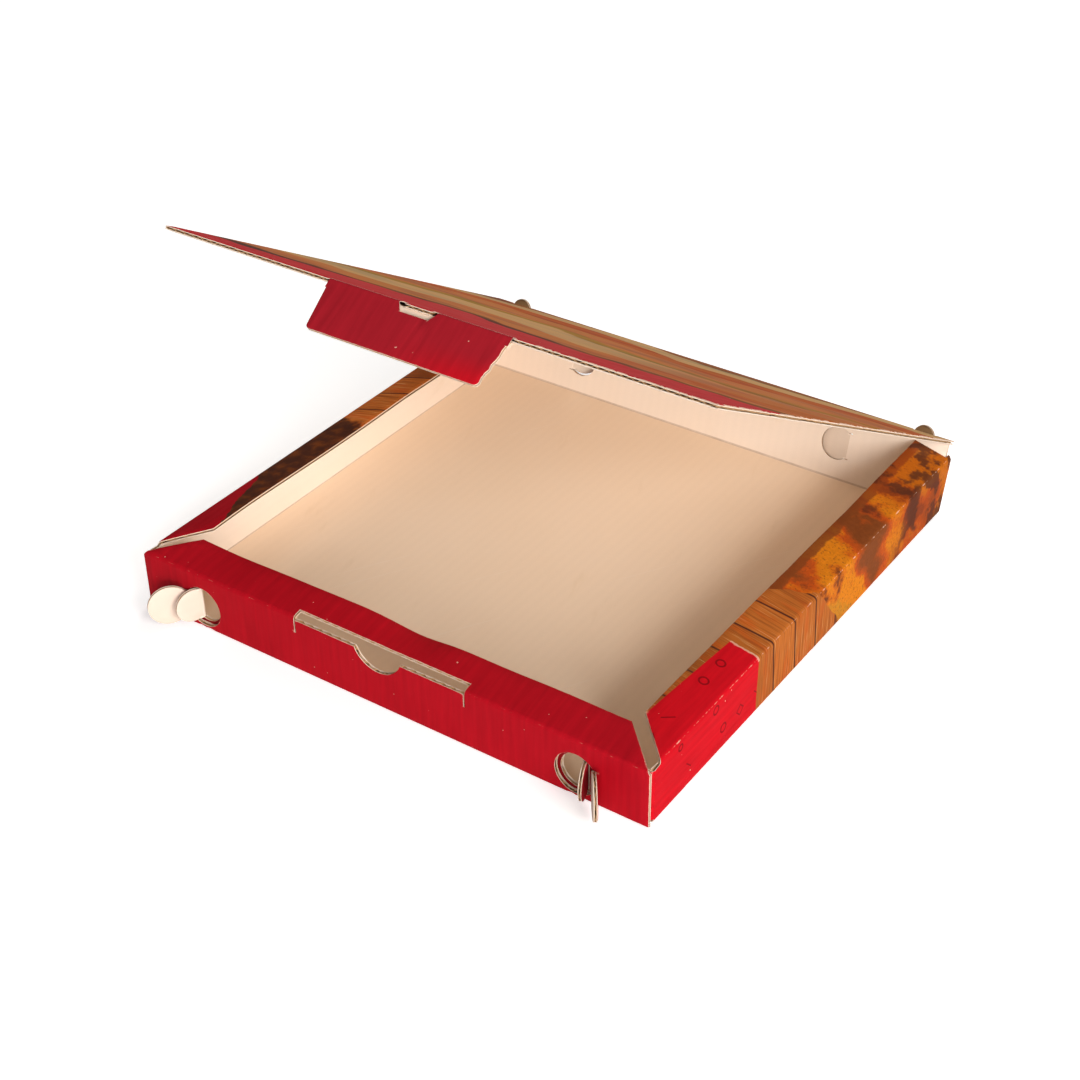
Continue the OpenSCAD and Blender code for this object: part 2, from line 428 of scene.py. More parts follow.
def inward_normals(loop: Array, smooth: float = 0.8) -> Pair:
    """Directions into the sheet at both ends of each edge of a loop.

    Args:
        loop: Points of the loop.
        smooth: Least cosine between two edges that share a direction.

    Returns:
        Directions at the first and at the last point of each edge.
    """
    run = unit_rows(np.roll(loop, -1, 0) - loop)
    normal = np.stack((-run[:, 1], run[:, 0]), 1)
    before = np.roll(normal, 1, 0)
    alike = np.sum(normal * before, axis=1) > smooth
    mean = unit_rows(normal + before)
    first = np.where(alike[:, None], mean, normal)
    last = np.where(np.roll(alike, -1)[:, None], np.roll(mean, -1, 0), normal)
    return first, last


Blank = Callable[[Array, Array], Pair]
Give = Callable[[Array, Array], Array]


def no_give(a: Array, s: Array) -> Array:
    """A panel that is quite flat."""
    return np.zeros(len(a))


def no_join(a: float, s: float) -> bool:
    """A panel whose edges are all cut."""
    return False


def start_joins(a: float, s: float) -> bool:
    """A panel that goes on into another where its path starts."""
    return s < TINY


@dataclass
class Panel:
    """A stretch of the sheet: a flat outline that is folded along a path and swept along an axis.

    Attributes:
        board: The board that it is cut from.
        path: Its folded section.
        domain: Its flat shape, as places along the axis and along the path.
        axes: Matrix whose columns are the axis, the two directions of the section and the origin.
        blank: Gives the place on the flat sheet, with flutes running along the second one.
        joined: True at the middle of an edge that goes on into another panel.
        give: How far the panel gives inwards from its true place.
        strip: True for a plain rectangle, which is meshed in even rows.
    """

    board: Board
    path: FoldPath
    domain: Domain
    axes: Matrix
    blank: Blank
    joined: Callable[[float, float], bool] = no_join
    give: Give = no_give
    strip: bool = False
    flat: Array = field(init=False)
    faces: Array = field(init=False)
    edge: Array = field(init=False)
    pinch: Array = field(init=False)

    def __post_init__(self) -> None:
        """Meshes the flat shape once, for both liners."""
        if self.strip:
            self._mesh_strip()
        else:
            self._mesh_flat()

    def _grid(self, loop: Array) -> tuple[Array, int]:
        """Points in even columns over the width of a loop, on the path's rows, and the number of columns."""
        step = self.board.mesh_step
        low, high = loop[:, 0].min(), loop[:, 0].max()
        columns = np.linspace(low, high, max(2, math.ceil((high - low) / step)))
        a, s = np.meshgrid(columns, self.path.rows(step))
        return np.stack((a.ravel(), s.ravel()), 1), len(columns)

    def _mesh_strip(self) -> None:
        """Fills a plain rectangle with even columns and the path's rows."""
        self.flat, wide = self._grid(self.domain.loops[0])
        tall = len(self.flat) // wide
        first = np.array([j * wide + i for j in range(tall - 1) for i in range(wide - 1)])
        lower = np.stack((first, first + 1, first + wide + 1), 1)
        upper = np.stack((first, first + wide + 1, first + wide), 1)
        self.faces = np.concatenate((lower, upper))
        self.edge = self.pinch = np.zeros(len(self.flat))

    def _resampled(self, loop: Array) -> Array:
        """A loop with points at every mesh step and at every row of a fold."""
        rows = np.array(self.path.fold_rows())
        found: list[Array] = []
        for a, b in zip(loop, np.roll(loop, -1, 0)):
            count = max(1, math.ceil(np.linalg.norm(b - a) / self.board.mesh_step))
            shares = [k / count for k in range(count)]
            if abs(b[1] - a[1]) > TINY and len(rows):
                cross = (rows - a[1]) / (b[1] - a[1])
                shares.extend(cross[(cross > 0) & (cross < 1)])
            last = -1.0
            for share in sorted(shares):
                if (share - last) * np.linalg.norm(b - a) > self.board.recess:
                    found.append(a + share * (b - a))
                    last = share
        return np.array(found)

    def _mesh_flat(self) -> None:
        """Fills the flat shape with triangles: a rim along its edges and even rows inside."""
        board = self.board
        loops = [self._resampled(loop) for loop in self.domain.loops]
        outline = np.concatenate(loops)
        starts = np.cumsum([0] + [len(loop) for loop in loops])
        links: list[tuple[int, int]] = []
        for first, loop in zip(starts, loops):
            links.extend((first + k, first + (k + 1) % len(loop)) for k in range(len(loop)))
        inner = np.concatenate([loop + board.rim * inward_normals(loop)[0] for loop in loops])
        inner = inner[self.domain.inside(inner)]
        inner = inner[self.domain.clearance(inner) > board.rim_clear * board.rim]
        grid = self._grid(outline)[0]
        grid = grid[self.domain.inside(grid)]
        grid = grid[self.domain.clearance(grid) > board.grid_clear * board.rim]
        points = np.concatenate((outline, inner, grid))
        found = delaunay_2d_cdt([Vector(p) for p in points], links, [], 0, WELD)
        self.flat = np.array([tuple(v) for v in found[0]])
        triangles = np.array(found[2])
        corners = self.flat[triangles]
        one, two = corners[:, 1] - corners[:, 0], corners[:, 2] - corners[:, 0]
        turn = one[:, 0] * two[:, 1] - one[:, 1] * two[:, 0]
        triangles[turn < 0] = triangles[turn < 0][:, ::-1]
        solid = (np.abs(turn) > TINY**2) & self.domain.inside(corners.mean(1))
        self.faces = triangles[solid]
        outer, pinch = np.zeros(len(self.flat)), np.zeros(len(self.flat))
        for index, sources in enumerate(found[3]):
            cut = [source for source in sources if source < len(outline)]
            if cut:
                outer[index] = 1.0
                pinch[index] = board.pinch if min(cut) < len(loops[0]) else board.hole_pinch
        goes_on = np.array([float(self.joined(a, s)) for a, s in self.flat])
        self.edge = outer * (1 - goes_on)
        self.pinch = pinch * self.edge

    def place(self, a: Array, s: Array, depth: Array) -> Array:
        """Places in space of points of the panel.

        Args:
            a: Places along the axis.
            s: Places along the path.
            depth: Depths under the outer face.

        Returns:
            One row for each point.
        """
        section = self.path.place(s, depth + self.give(a, s))
        local = np.stack((a, section[:, 0], section[:, 1], np.ones(len(a))), 1)
        return (local @ np.array(self.axes).T)[:, :3]

    def rim_edges(self) -> Array:
        """Edges of the flat mesh that belong to one triangle, with the sheet on their left."""
        pairs = np.concatenate([self.faces[:, [k, (k + 1) % 3]] for k in range(3)])
        known = {(a, b) for a, b in pairs.tolist()}
        return np.array([pair for pair in pairs.tolist() if (pair[1], pair[0]) not in known])


class SheetMesh:
    """Collects the vertices, faces and values of one piece of paper before it becomes a mesh."""

    def __init__(self) -> None:
        """Starts empty."""
        self.points: list[Array] = []
        self.faces: list[list[int]] = []
        self.slots: list[int] = []
        self.values: dict[str, list[Array]] = {}
        self.count = 0

    def add(self, points: Array, faces: list[list[int]], slots: list[int], **values: Array) -> None:
        """Adds one stretch of paper.

        Args:
            points: Its vertices.
            faces: Its faces, as indices into those.
            slots: The material slot of each face.
            **values: Values of each vertex, by attribute name.
        """
        self.points.append(points)
        self.faces.extend([index + self.count for index in face] for face in faces)
        self.slots.extend(slots)
        for name, value in values.items():
            self.values.setdefault(name, []).append(value)
        self.count += len(points)

    def add_shell(self, panel: Panel, outer: float, inner: float, surface_out: bool) -> None:
        """Adds a closed sheet of paper between two depths of a panel.

        Args:
            panel: The panel.
            outer: Depth of the sheet's outer face.
            inner: Depth of its inner face.
            surface_out: True if the finished surface is the outer face.
        """
        a, s = panel.flat.T
        pinch = panel.pinch * (1 if surface_out else -1)
        layers = [panel.place(a, s, np.full(len(a), depth) + pinch) for depth in (outer, inner)]
        size = len(a)
        flip = -1 if panel.axes.to_3x3().determinant() > 0 else 1
        front = panel.faces[:, ::flip]
        back = panel.faces[:, ::-flip] + size
        rim = panel.rim_edges()
        sides = np.stack((rim[:, 1] + size, rim[:, 0] + size, rim[:, 0], rim[:, 1]), 1)
        sides = sides[:, ::-flip]
        surface, paper = Face.SURFACE.value, Face.PAPER.value
        slots = [surface if surface_out else paper] * len(front)
        slots += [paper if surface_out else surface] * len(back)
        slots += [paper] * len(sides)
        u, v = panel.blank(a, s)
        place = np.stack((u, v, np.zeros(size)), 1)
        self.add(
            np.concatenate(layers),
            front.tolist() + back.tolist() + sides.tolist(),
            slots,
            blank=np.tile(place, (2, 1)),
            fold=np.tile(panel.path.creased(s), 2),
            rim=np.tile(panel.edge, 2),
        )

    def add_band(self, panel: Panel) -> None:
        """Adds the fluted sheet behind the cut edges of a panel, still flat.

        Args:
            panel: The panel.
        """
        board = panel.board
        for order, loop in enumerate(panel.domain.loops):
            pinch = board.hole_pinch if order else board.pinch
            first, last = inward_normals(loop)
            for index, (p, q) in enumerate(zip(loop, np.roll(loop, -1, 0))):
                if not panel.joined(*((p + q) / 2)):
                    self._add_ribbon(panel, p, q, first[index], last[index], pinch)

    def _add_ribbon(
        self, panel: Panel, p: Array, q: Array, first: Array, last: Array, pinch: float
    ) -> None:
        """Adds the fluted sheet behind one edge.

        Args:
            panel: The panel.
            p: First point of the edge.
            q: Last point of the edge.
            first: Direction into the sheet at the first point.
            last: Direction into the sheet at the last point.
            pinch: How far each liner is pressed in at the edge.
        """
        board = panel.board
        corners = np.array((p, q, p + board.band * first, q + board.band * last))
        across = panel.blank(*corners.T)[0]
        steps = abs(across[1:3] - across[0]) / board.flute_step
        along = max(math.ceil(steps[0]), math.ceil(np.linalg.norm(q - p) / board.mesh_step), 1)
        deep = max(math.ceil(steps[1]), board.band_rows)
        t, d = np.meshgrid(np.linspace(0, 1, along + 1), np.linspace(board.recess, board.band, deep + 1))
        t, d = t.ravel()[:, None], d.ravel()[:, None]
        flat = p + t * (q - p) + d * ((1 - t) * first + t * last)
        row = along + 1
        quads = [
            [j * row + i, j * row + i + 1, (j + 1) * row + i + 1, (j + 1) * row + i]
            for j in range(deep)
            for i in range(along)
        ]
        kept = panel.domain.inside(flat)[np.array(quads)].all(1)
        quads = [quad for quad, keep in zip(quads, kept) if keep]
        if not quads:
            return
        a, s = flat.T
        middle = np.full(len(a), board.middle)
        points = panel.place(a, s, middle)
        outward = panel.place(a, s, middle - board.middle) - points
        room = 1 - 2 * pinch / board.flute_height * np.clip(1 - d[:, 0] / board.rim, 0, 1)
        self.add(
            points,
            quads,
            [Face.SURFACE.value] * len(quads),
            outward=unit_rows(outward),
            across=panel.blank(a, s)[0],
            room=room,
        )

    def to_object(self, name: str, materials: Sequence[Material]) -> bpy.types.Object:
        """Makes the mesh object.

        Args:
            name: Name of the piece.
            materials: Materials of its slots.

        Returns:
            The new object, linked to the scene.
        """
        mesh = bpy.data.meshes.new(name)
        mesh.from_pydata(np.concatenate(self.points).tolist(), [], self.faces)
        for material in materials:
            mesh.materials.append(material)
        mesh.polygons.foreach_set("material_index", self.slots)
        for key, parts in self.values.items():
            data = np.concatenate(parts).astype(np.float32)
            kind = "FLOAT_VECTOR" if data.ndim == 2 else "FLOAT"
            store = mesh.attributes.new(key, kind, "POINT")
            store.data.foreach_set("vector" if data.ndim == 2 else "value", data.ravel())
        mesh.shade_smooth()
        mesh.set_sharp_from_angle(angle=SHARP_EDGE)
        mesh.update()
        piece = bpy.data.objects.new(name, mesh)
        bpy.context.scene.collection.objects.link(piece)
        return piece


class NodeTree:
    """Adds nodes to a tree: settings first, then the values and links of sockets."""

    def __init__(self, tree: bpy.types.NodeTree) -> None:
        """Empties the tree."""
        self.tree = tree
        tree.nodes.clear()

    def node(self, kind: str, settings: dict[str, Any] | None = None, **sockets: Any) -> bpy.types.Node:
        """Adds one node.

        Args:
            kind: Its type.
            settings: Properties that are set before its sockets.
            **sockets: Values or links, by socket name with _ for a space, or by in0, in1 and so on.

        Returns:
            The node.
        """
        made = self.tree.nodes.new(kind)
        for key, value in (settings or {}).items():
            setattr(made, key, value)
        for key, value in sockets.items():
            number = key[2:] if key.startswith("in") and key[2:].isdigit() else ""
            socket = made.inputs[int(number)] if number else made.inputs[key.replace("_", " ")]
            self.feed(socket, value)
        return made

    def feed(self, socket: Socket, value: Any) -> None:
        """Links a socket, or sets its value."""
        if isinstance(value, Value):
            value = value.socket
        if isinstance(value, Socket):
            self.tree.links.new(value, socket)
        elif socket.type == "RGBA" and len(value) == 3:
            socket.default_value = (*value, 1.0)
        else:
            socket.default_value = value


class Value:
    """A number that changes over the surface: Python's operators add Math nodes to its tree."""

    def __init__(self, tree: NodeTree, socket: Socket) -> None:
        """Wraps a socket."""
        self.tree = tree
        self.socket = socket

    def math(self, operation: str, *values: Any) -> Value:
        """Adds a Math node for some values."""
        sockets = {f"in{index}": value for index, value in enumerate(values)}
        made = self.tree.node("ShaderNodeMath", {"operation": operation}, **sockets)
        return Value(self.tree, made.outputs[0])

    def __add__(self, other: Any) -> Value:
        """Sum."""
        return self.math("ADD", self, other)

    __radd__ = __add__

    def __sub__(self, other: Any) -> Value:
        """Difference."""
        return self.math("SUBTRACT", self, other)

    def __rsub__(self, other: Any) -> Value:
        """Difference from a number."""
        return self.math("SUBTRACT", other, self)

    def __mul__(self, other: Any) -> Value:
        """Product."""
        return self.math("MULTIPLY", self, other)

    __rmul__ = __mul__

    def __truediv__(self, other: Any) -> Value:
        """Quotient."""
        return self.math("DIVIDE", self, other)

    def __pow__(self, other: float) -> Value:
        """Power."""
        return self.math("POWER", self, other)

    def __abs__(self) -> Value:
        """Size without its sign."""
        return self.math("ABSOLUTE", self)

    def sine(self) -> Value:
        """Sine."""
        return self.math("SINE", self)

    def fraction(self) -> Value:
        """What is over a whole number."""
        return self.math("FRACT", self)

    def floor(self) -> Value:
        """The whole number under it."""
        return self.math("FLOOR", self)

    def least(self, other: Any) -> Value:
        """The lesser of two."""
        return self.math("MINIMUM", self, other)

    def most(self, other: Any) -> Value:
        """The greater of two."""
        return self.math("MAXIMUM", self, other)

    def step(self, low: Any, high: Any) -> Value:
        """Rises smoothly from 0 at low to 1 at high."""
        smooth = {"interpolation_type": "SMOOTHSTEP"}
        made = self.tree.node("ShaderNodeMapRange", smooth, Value=self, From_Min=low, From_Max=high)
        return Value(self.tree, made.outputs[0])


class Paint(NodeTree):
    """Shader of one finish, with the textures that paper needs."""

    def __init__(self, name: str) -> None:
        """Makes an empty material of a name."""
        self.material = bpy.data.materials.new(name)
        self.material.use_nodes = True
        super().__init__(self.material.node_tree)

    def attribute(self, name: str) -> bpy.types.Node:
        """Value that the mesh holds at each point."""
        return self.node("ShaderNodeAttribute", {"attribute_name": name, "attribute_type": "GEOMETRY"})

    def amount(self, name: str) -> Value:
        """Single number that the mesh holds at each point."""
        return Value(self, self.attribute(name).outputs["Fac"])

    def sheet_place(self) -> tuple[Value, Value]:
        """Place on the flat sheet: across the flutes and along them."""
        split = self.node("ShaderNodeSeparateXYZ", Vector=self.attribute("blank").outputs["Vector"])
        return Value(self, split.outputs[0]), Value(self, split.outputs[1])

    def vector(self, x: Any, y: Any, z: Any = 0.0) -> Socket:
        """Vector of three values."""
        return self.node("ShaderNodeCombineXYZ", X=x, Y=y, Z=z).outputs[0]

    def noise(self, place: Any, scale: float, detail: float = 3.0, rough: float = 0.5) -> Value:
        """Soft noise from 0 to 1, at a vector or at two or three values."""
        at = self.vector(*place) if isinstance(place, tuple) else place
        made = self.node("ShaderNodeTexNoise", Vector=at, Scale=scale, Detail=detail, Roughness=rough)
        return Value(self, made.outputs["Fac"])

    def ribs(self, across: Value, board: Board) -> Value:
        """Washboard of the flutes that show through a liner, from 0 to 1."""
        return (across * (2 * math.pi / board.flute_pitch)).sine() * 0.5 + 0.5

    def chance(self, place: Any) -> Value:
        """Random number of a place."""
        return Value(self, self.node("ShaderNodeTexWhiteNoise", Vector=place).outputs["Value"])

    def mix(self, share: Any, low: Any, high: Any) -> Socket:
        """Colour between two colours."""
        made = self.node("ShaderNodeMix", {"data_type": "RGBA"}, in0=share, in6=low, in7=high)
        return made.outputs[2]

    def shade(self, colour: Any, by: Any) -> Socket:
        """Colour made darker or lighter by a factor."""
        made = self.node("ShaderNodeVectorMath", {"operation": "SCALE"}, Vector=colour, Scale=by)
        return made.outputs[0]

    def finish(
        self, colour: Any, roughness: Any, height: Value, depth: float, shine: float
    ) -> Material:
        """Ends the shader.

        Args:
            colour: Base colour.
            roughness: Roughness.
            height: Height of the relief, from 0 to 1.
            depth: Depth of the relief, in metres.
            shine: Specular level.

        Returns:
            The material.
        """
        bump = self.node("ShaderNodeBump", Height=height, Distance=depth, Strength=1.0)
        shader = self.node(
            "ShaderNodeBsdfPrincipled",
            Base_Color=colour,
            Roughness=roughness,
            Specular_IOR_Level=shine,
            Normal=bump.outputs[0],
        )
        self.node("ShaderNodeOutputMaterial", Surface=shader.outputs[0])
        return self.material


@dataclass(frozen=True)
class PrintColours:
    """Inks of the print."""

    red: Colour = srgb(177, 15, 30)
    # The next ink is the red above painted lighter: painted light on the right side, and painted bounce light
    # on the flap.
    bright: Colour = srgb(200, 14, 29)
    crimson: Colour = srgb(164, 28, 40)
    lid_red: Colour = srgb(206, 44, 46)
    # This ink draws the motifs, and is also painted shade on the tucked tabs.
    ink: Colour = srgb(112, 8, 16)
    rust: Colour = srgb(192, 80, 24)
    orange: Colour = srgb(206, 122, 66)
    amber: Colour = srgb(214, 128, 24)
    olive: Colour = srgb(164, 130, 46)
    tan: Colour = srgb(218, 180, 122)
    wood: Colour = srgb(192, 108, 44)
    brown: Colour = srgb(126, 66, 30)
    char: Colour = srgb(80, 44, 30)
    worn: Colour = srgb(242, 204, 180)


@dataclass(frozen=True)
class PaperColours:
    """Bare papers of the board."""

    cream: Colour = srgb(250, 233, 217)
    floor: Colour = srgb(244, 221, 195)
    shade: Colour = srgb(224, 198, 164)
    kraft: Colour = srgb(206, 164, 118)
    crease: Colour = srgb(150, 112, 76)
    core: Colour = srgb(188, 146, 104)
    # This colour greys the vents' lining; on the back vents it is painted shade.
    greying: Colour = srgb(192, 168, 146)
    # The next two colours are painted shade on the tray's ears behind the lid; the second is also soot on the
    # front left corner.
    ear_shade: Colour = srgb(150, 116, 80)
    soot_and_shade: Colour = srgb(84, 60, 46)
    under: Colour = srgb(214, 186, 150)


class Ground(Enum):
    """What a printed liner shows."""

    TRAY = "tray"
    LID = "lid"
    RED = "red"


@dataclass(frozen=True)
class PrintFinish:
    """Printed outer liner: fields of ink on satin paper, worn at folds and cut edges.

    Attributes:
        inks: Its inks.
        papers: Bare papers under it.
        board: The board that it covers.
        floor_half: Half width of the floor between its folds.
        flange_edge: Distance of a side flange's free edge from the floor fold.
        half_w: Half width of the lid.
        red_end: Where the red field of the right side ends, from front to back.
        red_sway: How far that end sways.
        strip_start: Where the strip of planks beside that field starts.
        strip_widens: How much that strip widens for each metre.
        left_red_end: Where the left side's red field ends, at its top fold.
        left_sway: How far that end strays.
        left_slant: How far that end moves forward for each metre across the flange.
        burnt_end: Where the dark field of the left side ends.
        burnt_sway: How far that end strays.
        plank_end: Where the planks of the right side end, at the floor fold.
        plank_slant: How far that end moves forward for each metre up the wall.
        plank_sway: How far that end sways.
        edge_band: Where the dark band along a flange's free edge fades out, from that edge.
        edge_sway: How far that border strays.
        late: Where the mottled field starts to darken and where it is darkest.
        late_sway: How far these places stray.
        torn_line: Where the torn line at the red field's end fades out, from its middle.
        torn_sway: How far that line strays.
        burnt_soft: Half width of the dark field's border.
        plank_w: Width of a plank.
        plank_tilt: How far its seams move forward for each metre across.
        seam: Where a dark seam starts to fade and where it has faded, as shares of that width.
        motif_pitch: Distance between the small motifs.
        motif_size: Least size of a motif and what chance adds to it, as shares of that distance.
        motif_shares: Chances up to which a motif is a diamond, a ring or a dash.
        line_w: Width of a motif's line.
        lid_red_end: Where the lid's red band ends.
        lid_bands_start: Where its warm bands start.
        lid_band_starts: Where each later band starts.
        lid_sway: How far noise moves the bands.
        lid_wave: Height of their waves.
        lid_wave_rate: Radians of a wave for each metre across.
        lid_tilt: How far the bands move back for each metre to the right.
        rust_right: Where the lid's rust patch starts and where it is full, to the right.
        rust_start: The same from front to back.
        rust_end: Where it starts to end and where it has ended, from front to back.
        band_soft: Width of the border between two of these.
        tear_depth: How deep the lid's torn print reaches in.
        tear_soft: Width of its border.
        tear_right: Where the tear of the front edge starts and where it is full, to the right.
        tear_off: How far the tear keeps off that edge before it starts.
        bounce_light_right: Where the painted bounce light on the flap's print starts and where it is fullest,
            to the right.
        bounce_light_tip: The same towards its free edge.
        bounce_light_tip: The same towards its free edge.
        edge_soft: Half width of the border between two fields.
        tuck_in: How far the front wall's ends reach past the floor.
        tab_start: Where the tucked tabs start, from the middle to the front.
        flange_start: Where a side flange starts, from the floor fold.
        relief: Depth of the washboard and of the paper's grain.
        shine: Specular level of the print.
    """

    inks: PrintColours = PrintColours()
    papers: PaperColours = PaperColours()
    board: Board = Board()
    floor_half: float = 0.1622
    flange_edge: float = 0.0603
    half_w: float = 0.165
    red_end: float = -0.059
    red_sway: float = 0.0012
    strip_start: float = -0.135
    strip_widens: float = 0.07
    left_red_end: float = -0.06
    left_sway: float = 0.03
    left_slant: float = 2.7
    burnt_end: float = 0.003
    burnt_sway: float = 0.05
    plank_end: float = 0.037
    plank_slant: float = 0.76
    plank_sway: float = 0.006
    edge_band: Span = (0.0045, 0.006)
    edge_sway: float = 0.009
    late: Span = (0.085, 0.125)
    late_sway: float = 0.03
    torn_line: Span = (0.0002, 0.0009)
    torn_sway: float = 0.006
    burnt_soft: float = 0.004
    plank_w: float = 0.0235
    plank_tilt: float = 0.1
    seam: Span = (0.012, 0.045)
    motif_pitch: float = 0.017
    motif_size: Span = (0.13, 0.08)
    motif_shares: tuple[float, float, float] = (0.3, 0.52, 0.7)
    line_w: float = 0.00036
    lid_red_end: Span = (0.054, 0.056)
    lid_bands_start: Span = (0.066, 0.07)
    lid_band_starts: tuple[float, ...] = (0.112, 0.168, 0.184, 0.23, 0.27, 0.312)
    lid_sway: float = 0.12
    lid_wave: float = 0.018
    lid_wave_rate: float = 22.0
    lid_tilt: float = 0.1
    rust_right: Span = (0.02, 0.12)
    rust_start: Span = (0.07, 0.09)
    rust_end: Span = (0.15, 0.2)
    band_soft: float = 0.006
    tear_depth: float = 0.012
    tear_soft: float = 0.0006
    tear_right: Span = (0.03, 0.07)
    tear_off: float = 0.05
    bounce_light_right: Span = (-0.01, 0.05)
    bounce_light_tip: Span = (0.012, 0.0285)
    edge_soft: float = 0.0003
    tuck_in: float = 0.00305
    tab_start: float = 0.1665
    flange_start: float = 0.036
    relief: float = 0.00008
    shine: float = 0.05

    def material(self, name: str, ground: Ground) -> Material:
        """Makes the material.

        Args:
            name: Name of the material.
            ground: What it shows.

        Returns:
            The material.
        """
        paint = Paint(name)
        u, v = paint.sheet_place()
        if ground is Ground.TRAY:
            colour = self._tray_fields(paint, u, v)
        elif ground is Ground.LID:
            colour = self._lid_fields(paint, u, v)
        else:
            # Painted bounce light: the flap's red turns lighter towards its lower right.
            painted_bounce_light = u.step(*self.bounce_light_right) * (0 - v).step(*self.bounce_light_tip)
            ink = paint.mix(painted_bounce_light * 0.8, self.inks.crimson, self.inks.bright)
            colour = self._red(paint, u, v, ink)
        return self._worn_finish(paint, u, v, colour)

    def _past(self, value: Value) -> Value:
        """0 before a border and 1 past it."""
        return value.step(-self.edge_soft, self.edge_soft)

    def _red(self, paint: Paint, u: Value, v: Value, ink: Any) -> Socket:
        """Plain ink with streaks along the flutes, partly uneven ink and partly painted light and shade of
        the washboard, with small pale flecks.
        """
        cloud = paint.noise((u, v), 38.0, 4.0)
        # Streaks along the flutes: partly uneven ink, partly painted light and shade of the washboard.
        streak_and_washboard_light = paint.noise((u * 14.0, v), 26.0, 2.0)
        flecks = paint.noise((u, v, 8.0), 330.0, 1.0).step(0.78, 0.81)
        tone = paint.shade(ink, 0.7 + 0.16 * cloud + 0.44 * streak_and_washboard_light)
        return paint.mix(flecks * 0.7, tone, self.inks.worn)

    def _planks(self, paint: Paint, u: Value, v: Value) -> Socket:
        """Wooden planks with fine grain, lying across the sheet."""
        inks = self.inks
        row = (v + self.plank_tilt * u) / self.plank_w
        number = row.floor()
        own = paint.chance(paint.vector(number, 3.0))
        grain = paint.noise((u * 26.0, v * 900.0, number), 1.0, 3.0, 0.6)
        figure = paint.noise((u * 34.0, v * 130.0, number), 1.0, 2.0)
        tone = paint.mix(own * 0.85, inks.wood, inks.brown)
        tone = paint.mix(figure.step(0.46, 0.66) * 0.45, tone, inks.rust)
        tone = paint.mix(grain.step(0.48, 0.64) * 0.6, tone, inks.brown)
        tone = paint.mix((1 - grain.step(0.3, 0.42)) * 0.45, tone, inks.tan)
        part = row.fraction()
        dark, faded = self.seam
        seam = part.step(dark, faded) * (1 - part.step(1 - faded, 1 - dark))
        return paint.mix(seam, inks.char, tone)

    def _mottle(self, paint: Paint, u: Value, v: Value, stretch: float = 1.0) -> Socket:
        """Mottled warm field: rust with amber patches, sharp dark blotches and fine specks."""
        inks = self.inks
        place = paint.vector(u, v * stretch, 0.7)
        ragged = paint.noise(place, 150.0, 5.0, 0.72) - 0.5
        broad = paint.noise(place, 17.0, 2.0, 0.55) + 0.2 * ragged
        dark = paint.noise((u, v * stretch, 2.3), 20.0, 2.0, 0.6) + 0.22 * ragged
        fine = paint.noise(place, 420.0, 3.0, 0.7)
        specks = paint.noise((u, v * stretch, 6.1), 560.0, 2.0, 0.6)
        tone = paint.mix(broad.step(0.34, 0.46), inks.brown, inks.rust)
        tone = paint.mix(broad.step(0.43, 0.5) * 0.9, tone, inks.amber)
        tone = paint.mix(broad.step(0.6, 0.66) * 0.5, tone, inks.olive)
        tone = paint.mix(dark.step(0.53, 0.6) * 0.6, tone, inks.rust)
        tone = paint.mix(dark.step(0.57, 0.625) * 0.85, tone, inks.char)
        tone = paint.mix(specks.step(0.56, 0.66) * 0.6, tone, inks.brown)
        return paint.shade(tone, 0.7 + 0.6 * fine)

    def _motifs(self, paint: Paint, u: Value, v: Value) -> Value:
        """Thin outlined diamonds, rings and dashes, scattered in staggered rows."""
        row = (u / self.motif_pitch).floor()
        across = u / self.motif_pitch - row - 0.5
        shifted = v / self.motif_pitch + 0.5 * row
        column = shifted.floor()
        along = shifted - column - 0.5
        kind = paint.chance(paint.vector(row, column, 0.5))
        least, more = self.motif_size
        size = least + more * paint.chance(paint.vector(row, column, 7.5))
        half = self.line_w / self.motif_pitch
        diamond = abs(abs(across) + abs(along) - size)
        ring = abs((across * across + along * along) ** 0.5 - 0.8 * size)
        dash = abs(across + along).most(abs(across - along) - 1.6 * size)
        found: Any = 0.0
        below, hair = -0.001, 0.001
        for above, shape in zip(self.motif_shares, (diamond, ring, dash)):
            chosen = kind.step(below, below + hair) * (1 - kind.step(above, above + hair))
            found = found + chosen * (1 - shape.step(half, 1.8 * half))
            below = above
        return found

    def _tray_fields(self, paint: Paint, u: Value, v: Value) -> Socket:
        """Red front, sides that go from red over planks to warm fields, tucked tabs painted dark as painted
        shade, and a bare underside.
        """
        inks = self.inks
        ahead = 1 - self._past(v + self.floor_half)
        out = abs(u) - self.floor_half - self.tuck_in * ahead
        wave = paint.noise((u, v), 90.0, 2.0) - 0.5
        ragged = paint.noise((u, v, 5.0), 55.0, 5.0, 0.7) - 0.5
        side_red = paint.mix(self._motifs(paint, u, v) * 0.8, self._red(paint, u, v, inks.bright), inks.ink)
        planks = self._planks(paint, u, v)
        right = self._right_side(paint, u, v, (side_red, planks), (wave, ragged))
        burnt = paint.mix(paint.noise((u, v), 130.0, 4.0).step(0.4, 0.75), inks.char, inks.brown)
        slant = self.left_slant * (out.most(self.flange_start) - self.flange_start)
        left_red = self._red(paint, u, v, inks.red)
        left = paint.mix(self._past(v + self.left_sway * ragged - self.left_red_end + slant), left_red, burnt)
        past_burnt = (v + self.burnt_sway * ragged - self.burnt_end).step(-self.burnt_soft, self.burnt_soft)
        # Painted light: the left side's planks are the same planks painted lighter.
        left = paint.mix(past_burnt, left, paint.shade(planks, 1.35))
        sides = paint.mix(self._past(u), left, right)
        # Painted shade: the tucked tabs, seen through the vent holes, are painted in the dark ink.
        sides = paint.mix((1 - self._past(v + self.tab_start)) * 0.85, sides, inks.ink)
        back = paint.mix(self._past(v - self.half_w), self._underside(paint, u, v), self._planks(paint, v, u))
        centre = paint.mix(self._past(v + self.floor_half), self._red(paint, u, v, inks.red), back)
        return paint.mix(self._past(out), centre, sides)

